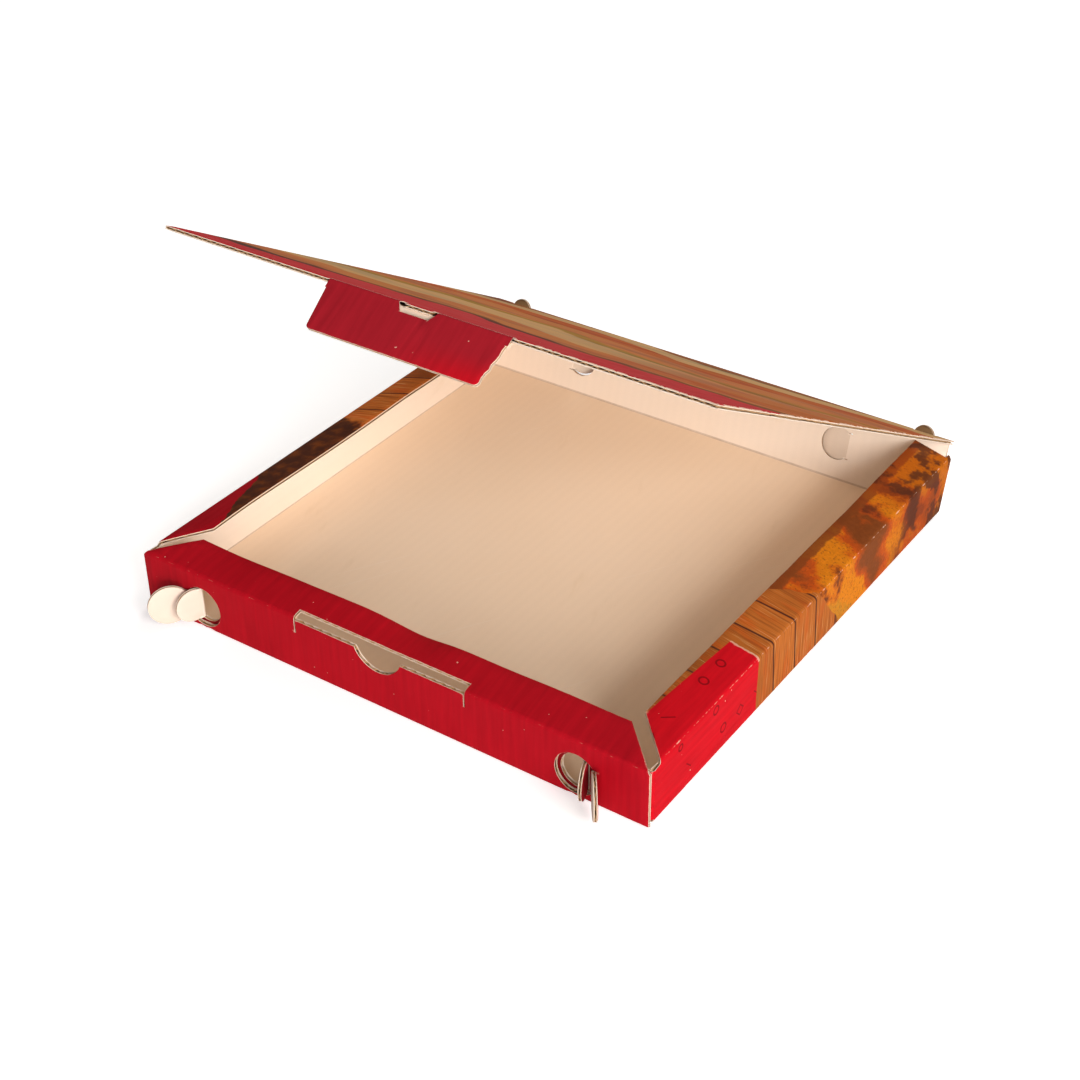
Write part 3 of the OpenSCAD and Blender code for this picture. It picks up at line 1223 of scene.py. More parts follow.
    def _right_side(
        self,
        paint: Paint,
        u: Value,
        v: Value,
        fields: tuple[Socket, Socket],
        waves: tuple[Value, Value],
    ) -> Socket:
        """Right side: red, planks that start as a strip beside it, then a mottled field.

        Args:
            paint: Shader of the print.
            u: Place across the sheet.
            v: Place along the sheet.
            fields: Colours of the red field and of the planks.
            waves: Gentle and ragged unevenness of borders.

        Returns:
            The colour.
        """
        inks = self.inks
        out = u - self.floor_half
        from_edge = self.flange_edge - out
        strip = self._past(self.strip_widens * (v - self.strip_start) - from_edge)
        past_red = self._past(v + self.red_sway * waves[0] - self.red_end)
        tone = paint.mix(strip.most(past_red), *fields)
        torn = 1 - abs(v + self.torn_sway * waves[1] - self.red_end).step(*self.torn_line)
        on_flange = self._past(out - self.flange_start) * (1 - strip)
        tone = paint.mix(torn * on_flange * 0.5, tone, inks.worn)
        end = self.plank_end - self.plank_slant * out
        by_edge = 1 - (from_edge + self.edge_sway * waves[1]).step(*self.edge_band)
        mottled = paint.mix(by_edge * 0.85, self._mottle(paint, u, v), inks.brown)
        late = (v + self.late_sway * waves[1]).step(*self.late)
        blots = paint.noise((u, v, 12.0), 34.0, 4.0, 0.62)
        mottled = paint.shade(paint.mix(late * 0.4, mottled, inks.rust), 1 - 0.15 * late)
        mottled = paint.mix(blots.step(0.47, 0.54) * late * 0.85, mottled, inks.char)
        return paint.mix(self._past(v + self.plank_sway * waves[0] - end), tone, mottled)

    def _underside(self, paint: Paint, u: Value, v: Value) -> Socket:
        """Bare board under the floor, scuffed."""
        scuff = paint.noise((u, v * 3.0), 30.0, 4.0)
        return paint.mix(scuff, self.papers.under, self.papers.kraft)

    def _lid_fields(self, paint: Paint, u: Value, v: Value) -> Socket:
        """Red band along the lid's front, wavy warm bands to the hinge, and torn paper at the right edges."""
        inks = self.inks
        sway = paint.noise((u, v * 0.6), 9.0, 3.0) - 0.5
        wave = (u * self.lid_wave_rate).sine()
        level = v + self.lid_sway * sway + self.lid_wave * wave - self.lid_tilt * u
        mottle = self._mottle(paint, u * 0.5, v, 1.6)
        bands = paint.mix(level.step(*self.lid_bands_start), inks.char, inks.orange)
        later = (inks.tan, inks.olive, inks.orange, inks.rust, inks.tan, inks.brown)
        for start, ink in zip(self.lid_band_starts, later):
            bands = paint.mix(level.step(start, start + self.band_soft), bands, ink)
        patch = u.step(*self.rust_right) * level.step(*self.rust_start) * (1 - level.step(*self.rust_end))
        bands = paint.mix(patch * 0.8, bands, inks.rust)
        bands = paint.mix(0.3, bands, mottle)
        tone = paint.mix(level.step(*self.lid_red_end), self._red(paint, u, v, inks.lid_red), bands)
        tear = paint.noise((u, v, 3.0), 130.0, 4.0, 0.7)
        from_front = v + self.tear_off * (1 - u.step(*self.tear_right))
        margin = (self.half_w - u).least(from_front) - self.tear_depth * (tear - 0.42)
        return paint.mix(1 - margin.step(0.0, self.tear_soft), tone, inks.worn)

    def _worn_finish(self, paint: Paint, u: Value, v: Value, colour: Any) -> Material:
        """Wear on folds and cut edges, washboard relief and a satin surface."""
        grit = paint.noise((u, v), 420.0, 3.0, 0.6)
        patch = paint.noise((u, v, 4.0), 60.0, 3.0)
        chips = paint.noise((u, v, 9.0), 170.0, 3.0, 0.65)
        hard = 0.48 + 0.22 * self._past(u - self.floor_half)
        crest = (paint.amount("fold") ** 2.5) * (grit * 0.5 + patch * 0.5 + chips * 2.6 - 1.3) * hard
        edge = (paint.amount("rim") ** 2.0) * (grit + patch - 0.5)
        wear = crest.step(0.26, 0.62).most(edge.step(0.25, 0.7))
        colour = paint.mix(wear * 0.75, colour, self.inks.worn)
        ribs = paint.ribs(u, self.board)
        height = 0.45 * ribs + 0.3 * grit + 0.4 * patch
        roughness = 0.54 + 0.18 * patch + 0.2 * wear
        return paint.finish(colour, roughness, height, self.relief, self.shine)


@dataclass(frozen=True)
class LiningFinish:
    """Plain inner liner: matt cream paper with fibres, a faint washboard and light scuffs.

    Attributes:
        papers: Bare papers of the board.
        board: The board that it lines.
        floor_half: Half width of the floor.
        crease_at: Distance of the floor's creases from its middle.
        crease_half: Half width of the line along them.
        crease_soft: Where that line fades out, from its edge.
        floor_soft: Where the floor's browner paper fades out, from its edge.
        ear_shade_start: Where the painted shade of the ears starts on the sheet, and where it is full.
        ear_top_shade: Where the darker painted shade at their tops starts, and where it is full.
        relief: Depth of the washboard and of the fibres.
        shine: Specular level of the paper.
    """

    papers: PaperColours = PaperColours()
    board: Board = Board()
    floor_half: float = 0.1622
    crease_at: float = 0.1643
    crease_half: float = 0.00225
    crease_soft: Span = (-0.0002, 0.0005)
    floor_soft: Span = (-0.0012, 0.0002)
    ear_shade_start: Span = (0.2095, 0.2105)
    ear_top_shade: Span = (0.2135, 0.2165)
    relief: float = 0.00004
    shine: float = 0.2

    def material(self, name: str, in_tray: bool = False, greying: float = 0.0) -> Material:
        """Makes the material.

        Args:
            name: Name of the material.
            in_tray: True for the tray, whose floor is browner and whose ears get painted shade.
            greying: How far it is greyed all over, from 0 to 1; on the back vents this is painted shade.

        Returns:
            The material.
        """
        papers = self.papers
        paint = Paint(name)
        u, v = paint.sheet_place()
        place = paint.vector(u, v)
        cloud = paint.noise(place, 11.0, 4.0, 0.6)
        fibre = paint.noise((u * 3.0, v), 600.0, 3.0, 0.7)
        ribs = paint.ribs(u, self.board)
        scuffs = paint.noise((u * 9.0 + v * 3.0, v * 2.0), 8.0, 5.0, 0.6)
        scratch = paint.noise(((u - v * 0.6) * 420.0, (v + u * 0.6) * 5.0), 1.0, 1.0)
        tone = paint.mix(cloud.step(0.35, 0.75) * 0.25, papers.cream, papers.floor)
        if in_tray:
            on_floor = 1 - (abs(u).most(abs(v)) - self.floor_half).step(*self.floor_soft)
            tone = paint.mix(on_floor * (0.7 + 0.3 * cloud), tone, papers.floor)
        tone = paint.mix(scuffs.step(0.6, 0.8) * 0.3, tone, papers.shade)
        tone = paint.mix(scratch.step(0.7, 0.74) * 0.25, tone, papers.cream)
        # Greys the whole lining; on the back vents this is painted shade.
        tone = paint.mix(greying, tone, papers.greying)
        if in_tray:
            gap = abs(abs(u) - self.crease_at).least(abs(v - self.crease_at)) - self.crease_half
            tone = paint.mix((1 - gap.step(*self.crease_soft)) * (0.15 + 0.5 * scuffs), tone, papers.crease)
            # Painted shade on the ears behind the lid, darker at their tops.
            tone = paint.mix(v.step(*self.ear_shade_start), tone, papers.ear_shade)
            tone = paint.mix(v.step(*self.ear_top_shade), tone, papers.soot_and_shade)
        tone = paint.shade(tone, 0.955 + 0.012 * ribs + 0.06 * fibre)
        height = 0.4 * ribs + 0.35 * fibre + 0.3 * cloud
        return paint.finish(tone, 0.78 + 0.12 * fibre, height, self.relief, self.shine)


@dataclass(frozen=True)
class RawPaperFinish:
    """Raw paper of a cut edge or of the flutes, soiled where the front left corner rubs.

    Attributes:
        papers: Bare papers of the board.
        corner_x: Where the soiled corner starts and where it is full, from the middle to the left.
        corner_y: Where it starts to end and where it has ended, from front to back.
        relief: Depth of the fibres.
        shine: Specular level of the paper.
    """

    papers: PaperColours = PaperColours()
    corner_x: Span = (0.1605, 0.1615)
    corner_y: Span = (-0.1605, -0.1595)
    relief: float = 0.00008
    shine: float = 0.15

    def material(self, name: str, colour: Colour) -> Material:
        """Makes the material in one colour."""
        paint = Paint(name)
        place = paint.node("ShaderNodeTexCoord").outputs["Object"]
        split = paint.node("ShaderNodeSeparateXYZ", Vector=place)
        x, y = Value(paint, split.outputs[0]), Value(paint, split.outputs[1])
        fibre = paint.noise(place, 900.0, 4.0, 0.7)
        patch = paint.noise(place, 70.0, 3.0)
        at_corner = (0 - x).step(*self.corner_x) * (1 - y.step(*self.corner_y))
        grime = paint.noise(place, 240.0, 3.0).step(0.3, 0.55)
        tone = paint.mix(patch * 0.5, colour, self.papers.kraft)
        tone = paint.mix(at_corner * grime * 0.85, tone, self.papers.soot_and_shade)
        tone = paint.shade(tone, 0.86 + 0.24 * fibre)
        return paint.finish(tone, 0.82 + 0.1 * patch, fibre, self.relief, self.shine)


@dataclass(frozen=True)
class Finishes:
    """All materials of the box."""

    tray_print: Material
    lid_print: Material
    red_print: Material
    lining: Material
    tray_lining: Material
    soiled_lining: Material
    vent_lining: Material
    edge: Material
    flutes: Material

    @classmethod
    def make(cls, board: Board) -> Finishes:
        """Makes the materials for one board."""
        inked, lined, raw = PrintFinish(board=board), LiningFinish(board=board), RawPaperFinish()
        return cls(
            tray_print=inked.material("tray_print", Ground.TRAY),
            lid_print=inked.material("lid_print", Ground.LID),
            red_print=inked.material("red_print", Ground.RED),
            lining=lined.material("cream_lining"),
            tray_lining=lined.material("tray_lining", in_tray=True),
            # Back vents' lining: greyed all over as painted shade.
            soiled_lining=lined.material("soiled_lining", greying=0.35),
            vent_lining=lined.material("vent_lining", greying=0.3),
            edge=raw.material("cut_paper", raw.papers.cream),
            flutes=raw.material("flute_paper", raw.papers.core),
        )


class FluteMaker:
    """Geometry Nodes tree that waves a flat sheet into flutes and gives it the thickness of paper."""

    def __init__(self, board: Board) -> None:
        """Builds the tree.

        Args:
            board: The board, which gives the sizes of the flutes.
        """
        self.board = board
        self.group = bpy.data.node_groups.new("flutes", "GeometryNodeTree")
        tree = NodeTree(self.group)
        self._sockets()
        source = tree.node("NodeGroupInput")
        out = source.outputs
        across = self._named(tree, "across", "FLOAT")
        room = self._named(tree, "room", "FLOAT")
        outward = self._named(tree, "outward", "FLOAT_VECTOR")
        turns = Value(tree, across) * (2 * math.pi) / out["Pitch"]
        lift = turns.sine() * out["Height"] * Value(tree, room) * 0.5
        offset = tree.node("ShaderNodeVectorMath", {"operation": "SCALE"}, Vector=outward, Scale=lift)
        waved = tree.node("GeometryNodeSetPosition", Geometry=out["Geometry"], Offset=offset.outputs[0])
        thick = tree.node(
            "GeometryNodeExtrudeMesh",
            {"mode": "FACES"},
            Mesh=waved.outputs[0],
            Offset_Scale=out["Paper"],
            Individual=False,
        )
        back = tree.node("GeometryNodeFlipFaces", Mesh=waved.outputs[0])
        both = tree.node("GeometryNodeJoinGeometry")
        tree.feed(both.inputs[0], thick.outputs[0])
        tree.feed(both.inputs[0], back.outputs[0])
        closed = tree.node("GeometryNodeMergeByDistance", Geometry=both.outputs[0], Distance=TINY)
        real = tree.node("GeometryNodeRealizeInstances", Geometry=closed.outputs[0])
        dressed = tree.node("GeometryNodeSetMaterial", Geometry=real.outputs[0], Material=out["Material"])
        tree.node("NodeGroupOutput", Geometry=dressed.outputs[0])

    def _sockets(self) -> None:
        """Gives the tree its named inputs and its output."""
        face = self.group.interface
        face.new_socket("Geometry", in_out="INPUT", socket_type="NodeSocketGeometry")
        for name in ("Pitch", "Height", "Paper"):
            face.new_socket(name, in_out="INPUT", socket_type="NodeSocketFloat")
        face.new_socket("Material", in_out="INPUT", socket_type="NodeSocketMaterial")
        face.new_socket("Geometry", in_out="OUTPUT", socket_type="NodeSocketGeometry")

    @staticmethod
    def _named(tree: NodeTree, name: str, kind: str) -> Socket:
        """Value of the mesh, by its name."""
        return tree.node("GeometryNodeInputNamedAttribute", {"data_type": kind}, Name=name).outputs[0]

    def wave(self, piece: bpy.types.Object, material: Material) -> None:
        """Turns a flat band into flutes, as a plain mesh.

        Args:
            piece: The band, whose mesh is replaced.
            material: Its paper.
        """
        board = self.board
        modifier = piece.modifiers.new("flutes", "NODES")
        modifier.node_group = self.group
        wanted = {
            "Pitch": board.flute_pitch,
            "Height": board.flute_height,
            "Paper": board.flute_paper,
            "Material": material,
        }
        for item in self.group.interface.items_tree:
            if item.in_out == "INPUT" and item.name in wanted:
                modifier[item.identifier] = wanted[item.name]
        graph = bpy.context.evaluated_depsgraph_get()
        mesh = bpy.data.meshes.new_from_object(piece.evaluated_get(graph))
        piece.modifiers.remove(modifier)
        old = piece.data
        piece.data = mesh
        bpy.data.meshes.remove(old)
        mesh.name = piece.name


@dataclass
class Workshop:
    """What every sub-assembly is made with."""

    board: Board
    finishes: Finishes
    flutes: FluteMaker

    def path(self, corners: Sequence[Point]) -> FoldPath:
        """Folded section through some outer corners."""
        return FoldPath(corners, self.board.fold_outside, self.board.fold_steps)

    def make(
        self, body: str, panels: Sequence[Panel], outer: Material, inner: Material
    ) -> None:
        """Makes the printed liner, the lining and the flutes of a body, which stand for its node.

        Args:
            body: Name of the body and of its node.
            panels: Its panels.
            outer: Material of the outer face.
            inner: Material of the inner face.
        """
        board, looks = self.board, self.finishes
        printed, lined, waved = SheetMesh(), SheetMesh(), SheetMesh()
        for panel in panels:
            printed.add_shell(panel, 0.0, board.liner, True)
            lined.add_shell(panel, board.thickness - board.liner, board.thickness, False)
            waved.add_band(panel)
        pieces = [
            printed.to_object(f"{body}_print", (outer, looks.edge)),
            lined.to_object(f"{body}_lining", (inner, looks.edge)),
            waved.to_object(f"{body}_flutes", (looks.flutes,)),
        ]
        self.flutes.wave(pieces[2], looks.flutes)
        for piece in pieces:
            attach(piece, body)
            LOG.info("%s rides on %s with %d faces", piece.name, body, len(piece.data.polygons))
        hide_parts(body)


def section_axes(
    origin: Sequence[float] = (0, 0, 0),
    along: Sequence[float] = (1, 0, 0),
    p: Sequence[float] = (0, 1, 0),
    q: Sequence[float] = (0, 0, 1),
) -> Matrix:
    """Matrix of a swept section, by default one that runs from front to back and is swept across the box.

    Args:
        origin: Where the section's own origin lies.
        along: Direction of the sweep.
        p: First direction of the section.
        q: Second direction of the section.

    Returns:
        The matrix from sweep and section to space.
    """
    columns = [Vector((*along, 0)), Vector((*p, 0)), Vector((*q, 0)), Vector((*origin, 1))]
    return Matrix(columns).transposed()


@dataclass(frozen=True)
class Dent:
    """Dent in a flange's free edge.

    Attributes:
        place: Where it is deepest, along the edge.
        half: Half of its width.
        depth: Its depth.
    """

    place: float
    half: float
    depth: float


@dataclass
class Tray:
    """Tray of the box: floor, four walls, three flanges and four corner tabs, folded from one sheet."""

    shop: Workshop
    half_w: float
    half_d: float
    hinge_z: float
    wall_h: float = 0.0365
    back_lean: float = 15.0
    flange_l: float = 0.024
    front_tilt: float = 13.0
    right_tilt: float = 13.0
    left_tilt: float = 16.0
    front_mitre: float = 47.0
    side_mitre: float = 45.0
    side_set_back: float = 0.0105
    flange_clear: float = 0.0008
    layer_gap: float = 0.0003
    crease_gap: float = 0.0007
    front_tab_l: float = 0.066
    rear_tab_l: float = 0.04
    slot_half: float = 0.056
    slot_back: float = 0.0058
    dip_r: float = 0.016
    dip_depth: float = 0.0105
    nick_depth: float = 0.008
    nick_w: float = 0.0008
    vent_inset: float = 0.042
    vent_h: float = 0.01525
    vent: VentHole = VentHole(0.0125, 0.011)
    tab_vent: VentHole = VentHole(0.0106, 0.005)
    back_vent: VentHole = VentHole(0.0105, 0.0075)
    back_vent_x: float = 0.0935
    back_vent_up: float = 0.0225
    ear_x: float = 0.146
    ear_r: float = 0.0065
    ear_h: float = 0.0055
    flange_sag: float = 0.0012
    sag_power: float = 1.6
    front_waves: float = 6.0
    side_waves: float = 5.0
    front_dents: tuple[Dent, ...] = (Dent(0.012, 0.018, 0.0026), Dent(-0.1, 0.03, 0.0012))
    right_dents: tuple[Dent, ...] = (Dent(0.09, 0.04, 0.001),)
    left_dents: tuple[Dent, ...] = (Dent(-0.03, 0.03, 0.0012),)

    def __post_init__(self) -> None:
        """Works out the places that several panels share."""
        board = self.shop.board
        lean = math.radians(self.back_lean)
        self.sin_lean, self.cos_lean = math.sin(lean), math.cos(lean)
        self.back_gap = board.corner_gap(lean)
        self.pitch = board.thickness + self.layer_gap
        self.floor_half = self.half_w - board.fold_outside
        self.back_y = self.half_d - board.thickness
        self.hinge_up = (self.hinge_z - board.thickness + board.middle * self.sin_lean) / self.cos_lean
        self.back_up = self.hinge_up - board.middle - self.crease_gap
        self.side_front = -self.half_d + board.thickness + self.pitch + board.fold_inside

    def build(self) -> None:
        """Makes the tray's pieces."""
        panels = [self.spine()]
        right, left = (self.right_tilt, self.right_dents), (self.left_tilt, self.left_dents)
        for sign, flange in ((1, right), (-1, left)):
            panels += [self.side(sign, *flange), self.front_tab(sign), self.rear_tab(sign)]
        looks = self.shop.finishes
        self.shop.make("tray", panels, looks.tray_print, looks.tray_lining)

    def flange_end(self, tilt: float) -> Point:
        """Outer corner of a flange's free edge, from its wall's outer face."""
        board = self.shop.board
        angle = math.radians(tilt)
        reach = board.thickness * math.tan((math.pi / 2 - angle) / 2) + self.flange_l - board.thickness
        return reach * math.cos(angle), self.wall_h + reach * math.sin(angle)

    def fold_z(self, tilt: float) -> float:
        """Height of a top fold's inner corner."""
        return self.wall_h - self.shop.board.corner_gap(math.radians(tilt))

    def on_back(self, across: float, up: float) -> Point:
        """Depth and height of a point of the back wall, by its distance from the inner face and up it."""
        y = self.back_y + across * self.cos_lean + up * self.sin_lean
        return y, self.shop.board.thickness - across * self.sin_lean + up * self.cos_lean

    def spine_path(self) -> FoldPath:
        """Section through the front flange, the front wall, the floor and the back wall."""
        t = self.shop.board.thickness
        end_p, end_z = self.flange_end(self.front_tilt)
        corners = [(end_p - self.half_d, end_z), (-self.half_d, self.wall_h), (-self.half_d, 0.0)]
        corners += [self.on_back(t, -self.back_gap), self.on_back(t, self.hinge_up + self.ear_h)]
        return self.shop.path(corners)

    def sag(self, path: FoldPath, waves: float, dents: Sequence[Dent]) -> Give:
        """Gentle droop of a flange, more towards its free edge.

        Args:
            path: Path that starts at the flange's free edge.
            waves: Waves for each metre of the edge.
            dents: Dents of the edge.

        Returns:
            How far a point gives inwards.
        """
        length = path.fold(0).start

        def give(a: Array, s: Array) -> Array:
            """Droop of each point."""
            free = np.clip(1 - s / length, 0, 1) ** self.sag_power
            wave = 0.5 + 0.3 * np.sin(2 * math.pi * waves * a) + 0.2 * np.sin(5.3 * math.pi * waves * a + 1.0)
            out = self.flange_sag * wave
            for dent in dents:
                out = out + dent.depth * np.exp(-(((a - dent.place) / dent.half) ** 2))
            return out * free

        return give

    def spine(self) -> Panel:
        """Front flange, front wall, floor and back wall with its ears."""
        path = self.spine_path()
        end_p = self.flange_end(self.front_tilt)[0]
        reach = math.tan(math.radians(self.front_mitre))
        top, low = path.fold(0), path.fold(1)
        top_p = path.spot(top.start)[0] + self.half_d
        back_top = self.back_row(path, self.back_up)
        ear_mid = self.back_row(path, self.hinge_up + self.ear_h - self.ear_r)
        low_end = low.start + low.length
        right = [
            (self.half_w - end_p * reach, 0.0),
            (self.half_w - top_p * reach, top.start),
            (self.half_w, top.start + top.length),
            (self.half_w, low_end),
            (self.floor_half, low_end),
            (self.floor_half, back_top),
            (self.ear_x + self.ear_r, back_top),
            *arc((self.ear_x, ear_mid), self.ear_r, 0, 180),
            (self.ear_x - self.ear_r, back_top),
        ]
        outline = right + [(-a, s) for a, s in reversed(right)]
        holes = [self.slot(path)]
        for sign in (1, -1):
            x, toward = sign * (self.half_w - self.vent_inset), 0 if sign > 0 else 180
            holes.append(self.vent.outline((x, path.after(0, self.wall_h - self.vent_h)), toward))
            up = self.back_row(path, self.back_vent_up)
            holes.append(self.back_vent.outline((sign * self.back_vent_x, up), toward))
        floor_start = path.after(1, 0.0)

        def blank(a: Array, s: Array) -> Pair:
            """Place on the flat sheet."""
            return a, s - floor_start - self.half_d

        def joined(a: float, s: float) -> bool:
            """Floor edges go on into the side walls, and the back wall's top into the lid."""
            beside = abs(abs(a) - self.floor_half) < TINY and low_end - TINY < s < path.fold(2).start + TINY
            return beside or (abs(s - back_top) < TINY and abs(a) < self.floor_half - TINY)

        give = self.sag(path, self.front_waves, self.front_dents)
        return Panel(self.shop.board, path, Domain(outline, holes), section_axes(), blank, joined, give)

    def back_row(self, path: FoldPath, up: float) -> float:
        """Place along the spine's path of a height up the back wall's inner face."""
        return path.after(2, 0.0) + (up + self.back_gap)

    def back_sheet(self, up: float) -> float:
        """Place on the flat sheet of a height up the back wall's inner face."""
        path = self.spine_path()
        return self.back_row(path, up) - path.after(1, 0.0) - self.half_d

    def slot(self, path: FoldPath) -> list[Point]:
        """Lock slot behind the front fold, with the thumb dip and the end nicks."""
        level = self.fold_z(self.front_tilt)
        edge = path.after(0, self.wall_h - level)
        nick = path.after(0, self.wall_h - level + self.nick_depth)
        back = path.before(0, self.slot_back / math.cos(math.radians(self.front_tilt)))
        rise = self.dip_r - self.dip_depth
        centre = (0.0, edge - rise)
        half = math.degrees(math.asin(rise / self.dip_r))
        inner = self.slot_half - self.nick_w
        return [
            (-self.slot_half, back),
            (self.slot_half, back),
            (self.slot_half, nick),
            (inner, nick),
            (inner, edge),
            *arc(centre, self.dip_r, half, 180 - half),
            (-inner, edge),
            (-inner, nick),
            (-self.slot_half, nick),
        ]

    def wall_end(self, z: float, across: float) -> float:
        """Where a side wall or flange ends at a height, at a distance from the back wall's inner face."""
        rise = z - self.shop.board.thickness
        return self.back_y + rise * self.sin_lean / self.cos_lean + across / self.cos_lean

    def side(self, sign: int, tilt: float, dents: Sequence[Dent]) -> Panel:
        """Side wall with its flange.

        Args:
            sign: 1 for the right one, -1 for the left one.
            tilt: Rise of its flange, in degrees.
            dents: Dents of the flange.

        Returns:
            The panel.
        """
        board = self.shop.board
        end = self.flange_end(tilt)
        path = self.shop.path([end, (0.0, self.wall_h), (0.0, 0.0), (board.fold_outside + TINY, 0.0)])
        top = path.fold(0)
        top_end = top.start + top.length
        front = -self.half_d + self.side_set_back
        reach = math.tan(math.radians(self.side_mitre))
        top_p, top_z = path.spot(top.start)
        wall_z = path.spot(top_end)[1]
        corner = (self.wall_end(0.0, self.pitch), path.length)
        outline = [
            (front + end[0] * reach, 0.0),
            (self.wall_end(end[1], -self.flange_clear), 0.0),
            (self.wall_end(top_z, -self.flange_clear), top.start),
            (self.wall_end(top_z, self.pitch), top.start),
            (self.wall_end(wall_z, self.pitch), top_end),
            corner,
            (self.side_front, path.length),
            (self.side_front, top_end),
            (front, top_end),
            (front + top_p * reach, top.start),
        ]

        def blank(a: Array, s: Array) -> Pair:
            """Place on the flat sheet."""
            return sign * (self.floor_half + path.length - s), a

        def joined(a: float, s: float) -> bool:
            """The floor fold and the two ends go on into the floor and the tabs."""
            end_a = self.wall_end(path.spot(s)[1], self.pitch)
            at_end = s > top_end - TINY and (a > end_a - CLOSE or a < self.side_front + TINY)
            return at_end or s > path.length - TINY

        axes = section_axes((sign * self.half_w, 0, 0), (0, 1, 0), (-sign, 0, 0), (0, 0, 1))
        give = self.sag(path, self.side_waves, dents)
        return Panel(board, path, Domain(outline), axes, blank, joined, give)

    def tab_path(self, length: float) -> FoldPath:
        """Section in plan of a tab that turns in at the end of a side wall."""
        board = self.shop.board
        t = board.thickness
        return self.shop.path([(-board.fold_inside - TINY, 0.0), (t, 0.0), (t, t + length)])

    def front_tab(self, sign: int) -> Panel:
        """Tab that turns in behind the front wall, with its vent hole."""
        path = self.tab_path(self.front_tab_l)
        high = self.fold_z(self.front_tilt) - 2 * self.layer_gap
        outline = rectangle(self.pitch, high, path.length)
        hole = self.tab_vent.outline((self.vent_h, path.after(0, self.vent_inset)), -90)
        root = (sign * self.half_w, self.side_front - self.shop.board.fold_inside, 0)
        axes = section_axes(root, (0, 0, 1), (0, -1, 0), (-sign, 0, 0))
        return self._tab(path, Domain(outline, [hole]), axes, sign, self.side_front, -1)

    def rear_tab(self, sign: int) -> Panel:
        """Tab that turns in behind the back wall."""
        board = self.shop.board
        path = self.tab_path(self.rear_tab_l)
        high = (self.fold_z(max(self.left_tilt, self.right_tilt)) - 2 * board.thickness) / self.cos_lean
        outline = rectangle(board.middle, high, path.length)
        root = (sign * self.half_w, *self.on_back(self.pitch, 0.0))
        up, out = (0, self.sin_lean, self.cos_lean), (0, self.cos_lean, -self.sin_lean)
        axes = section_axes(root, up, out, (-sign, 0, 0))
        return self._tab(path, Domain(outline), axes, sign, self.half_d, 1)

    def _tab(self, path: FoldPath, domain: Domain, axes: Matrix, sign: int, start: float, way: int) -> Panel:
        """Tab that goes on from a side wall's end.

        Args:
            path: Its section in plan.
            domain: Its flat shape, as heights and places along the path.
            axes: Matrix of the section.
            sign: 1 on the right, -1 on the left.
            start: Place of the wall's end on the flat sheet.
            way: 1 if the tab goes on to the back, -1 to the front.

        Returns:
            The panel.
        """

        def blank(a: Array, s: Array) -> Pair:
            """Place on the flat sheet."""
            return sign * (self.floor_half + a), start + way * s

        return Panel(self.shop.board, path, domain, axes, blank, start_joins)


@dataclass(frozen=True)
class Leaf:
    """Flat board on a crease, seen in section.

    Attributes:
        root: Place of the crease.
        along: Direction away from it.
    """

    root: Point
    along: Array

    def face(self, distance: float, height: float) -> Point:
        """Place at a distance from the crease and a height over the board's middle."""
        out = np.array((self.along[1], -self.along[0]))
        return tuple(np.array(self.root) + distance * self.along + height * out)


@dataclass
class Lid:
    """Lid of the box, standing open on the back wall's crease."""

    shop: Workshop
    half_w: float
    hinge: Point
    flap: Point
    crease_gap: float = 0.0007
    side_clear: float = 0.0008
    flap_half: float = 0.055
    notch_half: float = 0.0085
    ear_x: float = 0.146
    ear_notch_r: float = 0.0077
    side_fray: float = 0.0014
    front_fray: float = 0.0008
    fray_step: float = 0.0032
    side_seed: int = 3
    front_seed: int = 5

    def __post_init__(self) -> None:
        """Works out the lid's direction and length."""
        run = np.array(self.flap) - np.array(self.hinge)
        self.reach = float(np.linalg.norm(run))
        self.leaf = Leaf(self.hinge, run / self.reach)
        self.length = self.reach + self.shop.board.middle

    def build(self) -> None:
        """Makes the lid's pieces."""
        looks = self.shop.finishes
        self.shop.make("lid", [self.panel()], looks.lid_print, looks.lining)

    def panel(self) -> Panel:
        """The lid's one panel."""
        board = self.shop.board
        half = board.middle
        path = self.shop.path([self.leaf.face(0.0, half), self.leaf.face(self.length, half)])
        recess = self.length - board.thickness - self.crease_gap
        tongue = self.notch_half - self.side_clear
        outer = self.flap_half + self.side_clear
        hinge = [
            (self.ear_x - self.ear_notch_r, 0.0),
            *arc((self.ear_x, 0.0), self.ear_notch_r, 180, 0)[1:-1],
            (self.ear_x + self.ear_notch_r, 0.0),
        ]
        corners = [(self.half_w, 0.0), (self.half_w, self.length), (outer, self.length)]
        front = [(outer, recess), (tongue, recess), (tongue, self.length)]
        side = frayed(*corners[:2], self.side_fray, self.fray_step, self.side_seed)
        torn = side + frayed(*corners[1:], self.front_fray, self.fray_step, self.front_seed)[1:]
        left = [(-a, s) for a, s in reversed(hinge + corners + front)]
        outline = hinge + torn + front + left

        def blank(a: Array, s: Array) -> Pair:
            """Place on the flat sheet, from the lid's front edge back."""
            return a, self.length - s

        def joined(a: float, s: float) -> bool:
            """The hinge and the flap's fold go on."""
            return s < TINY or (abs(s - recess) < TINY and abs(a) < outer)

        return Panel(board, path, Domain(outline), section_axes(), blank, joined)


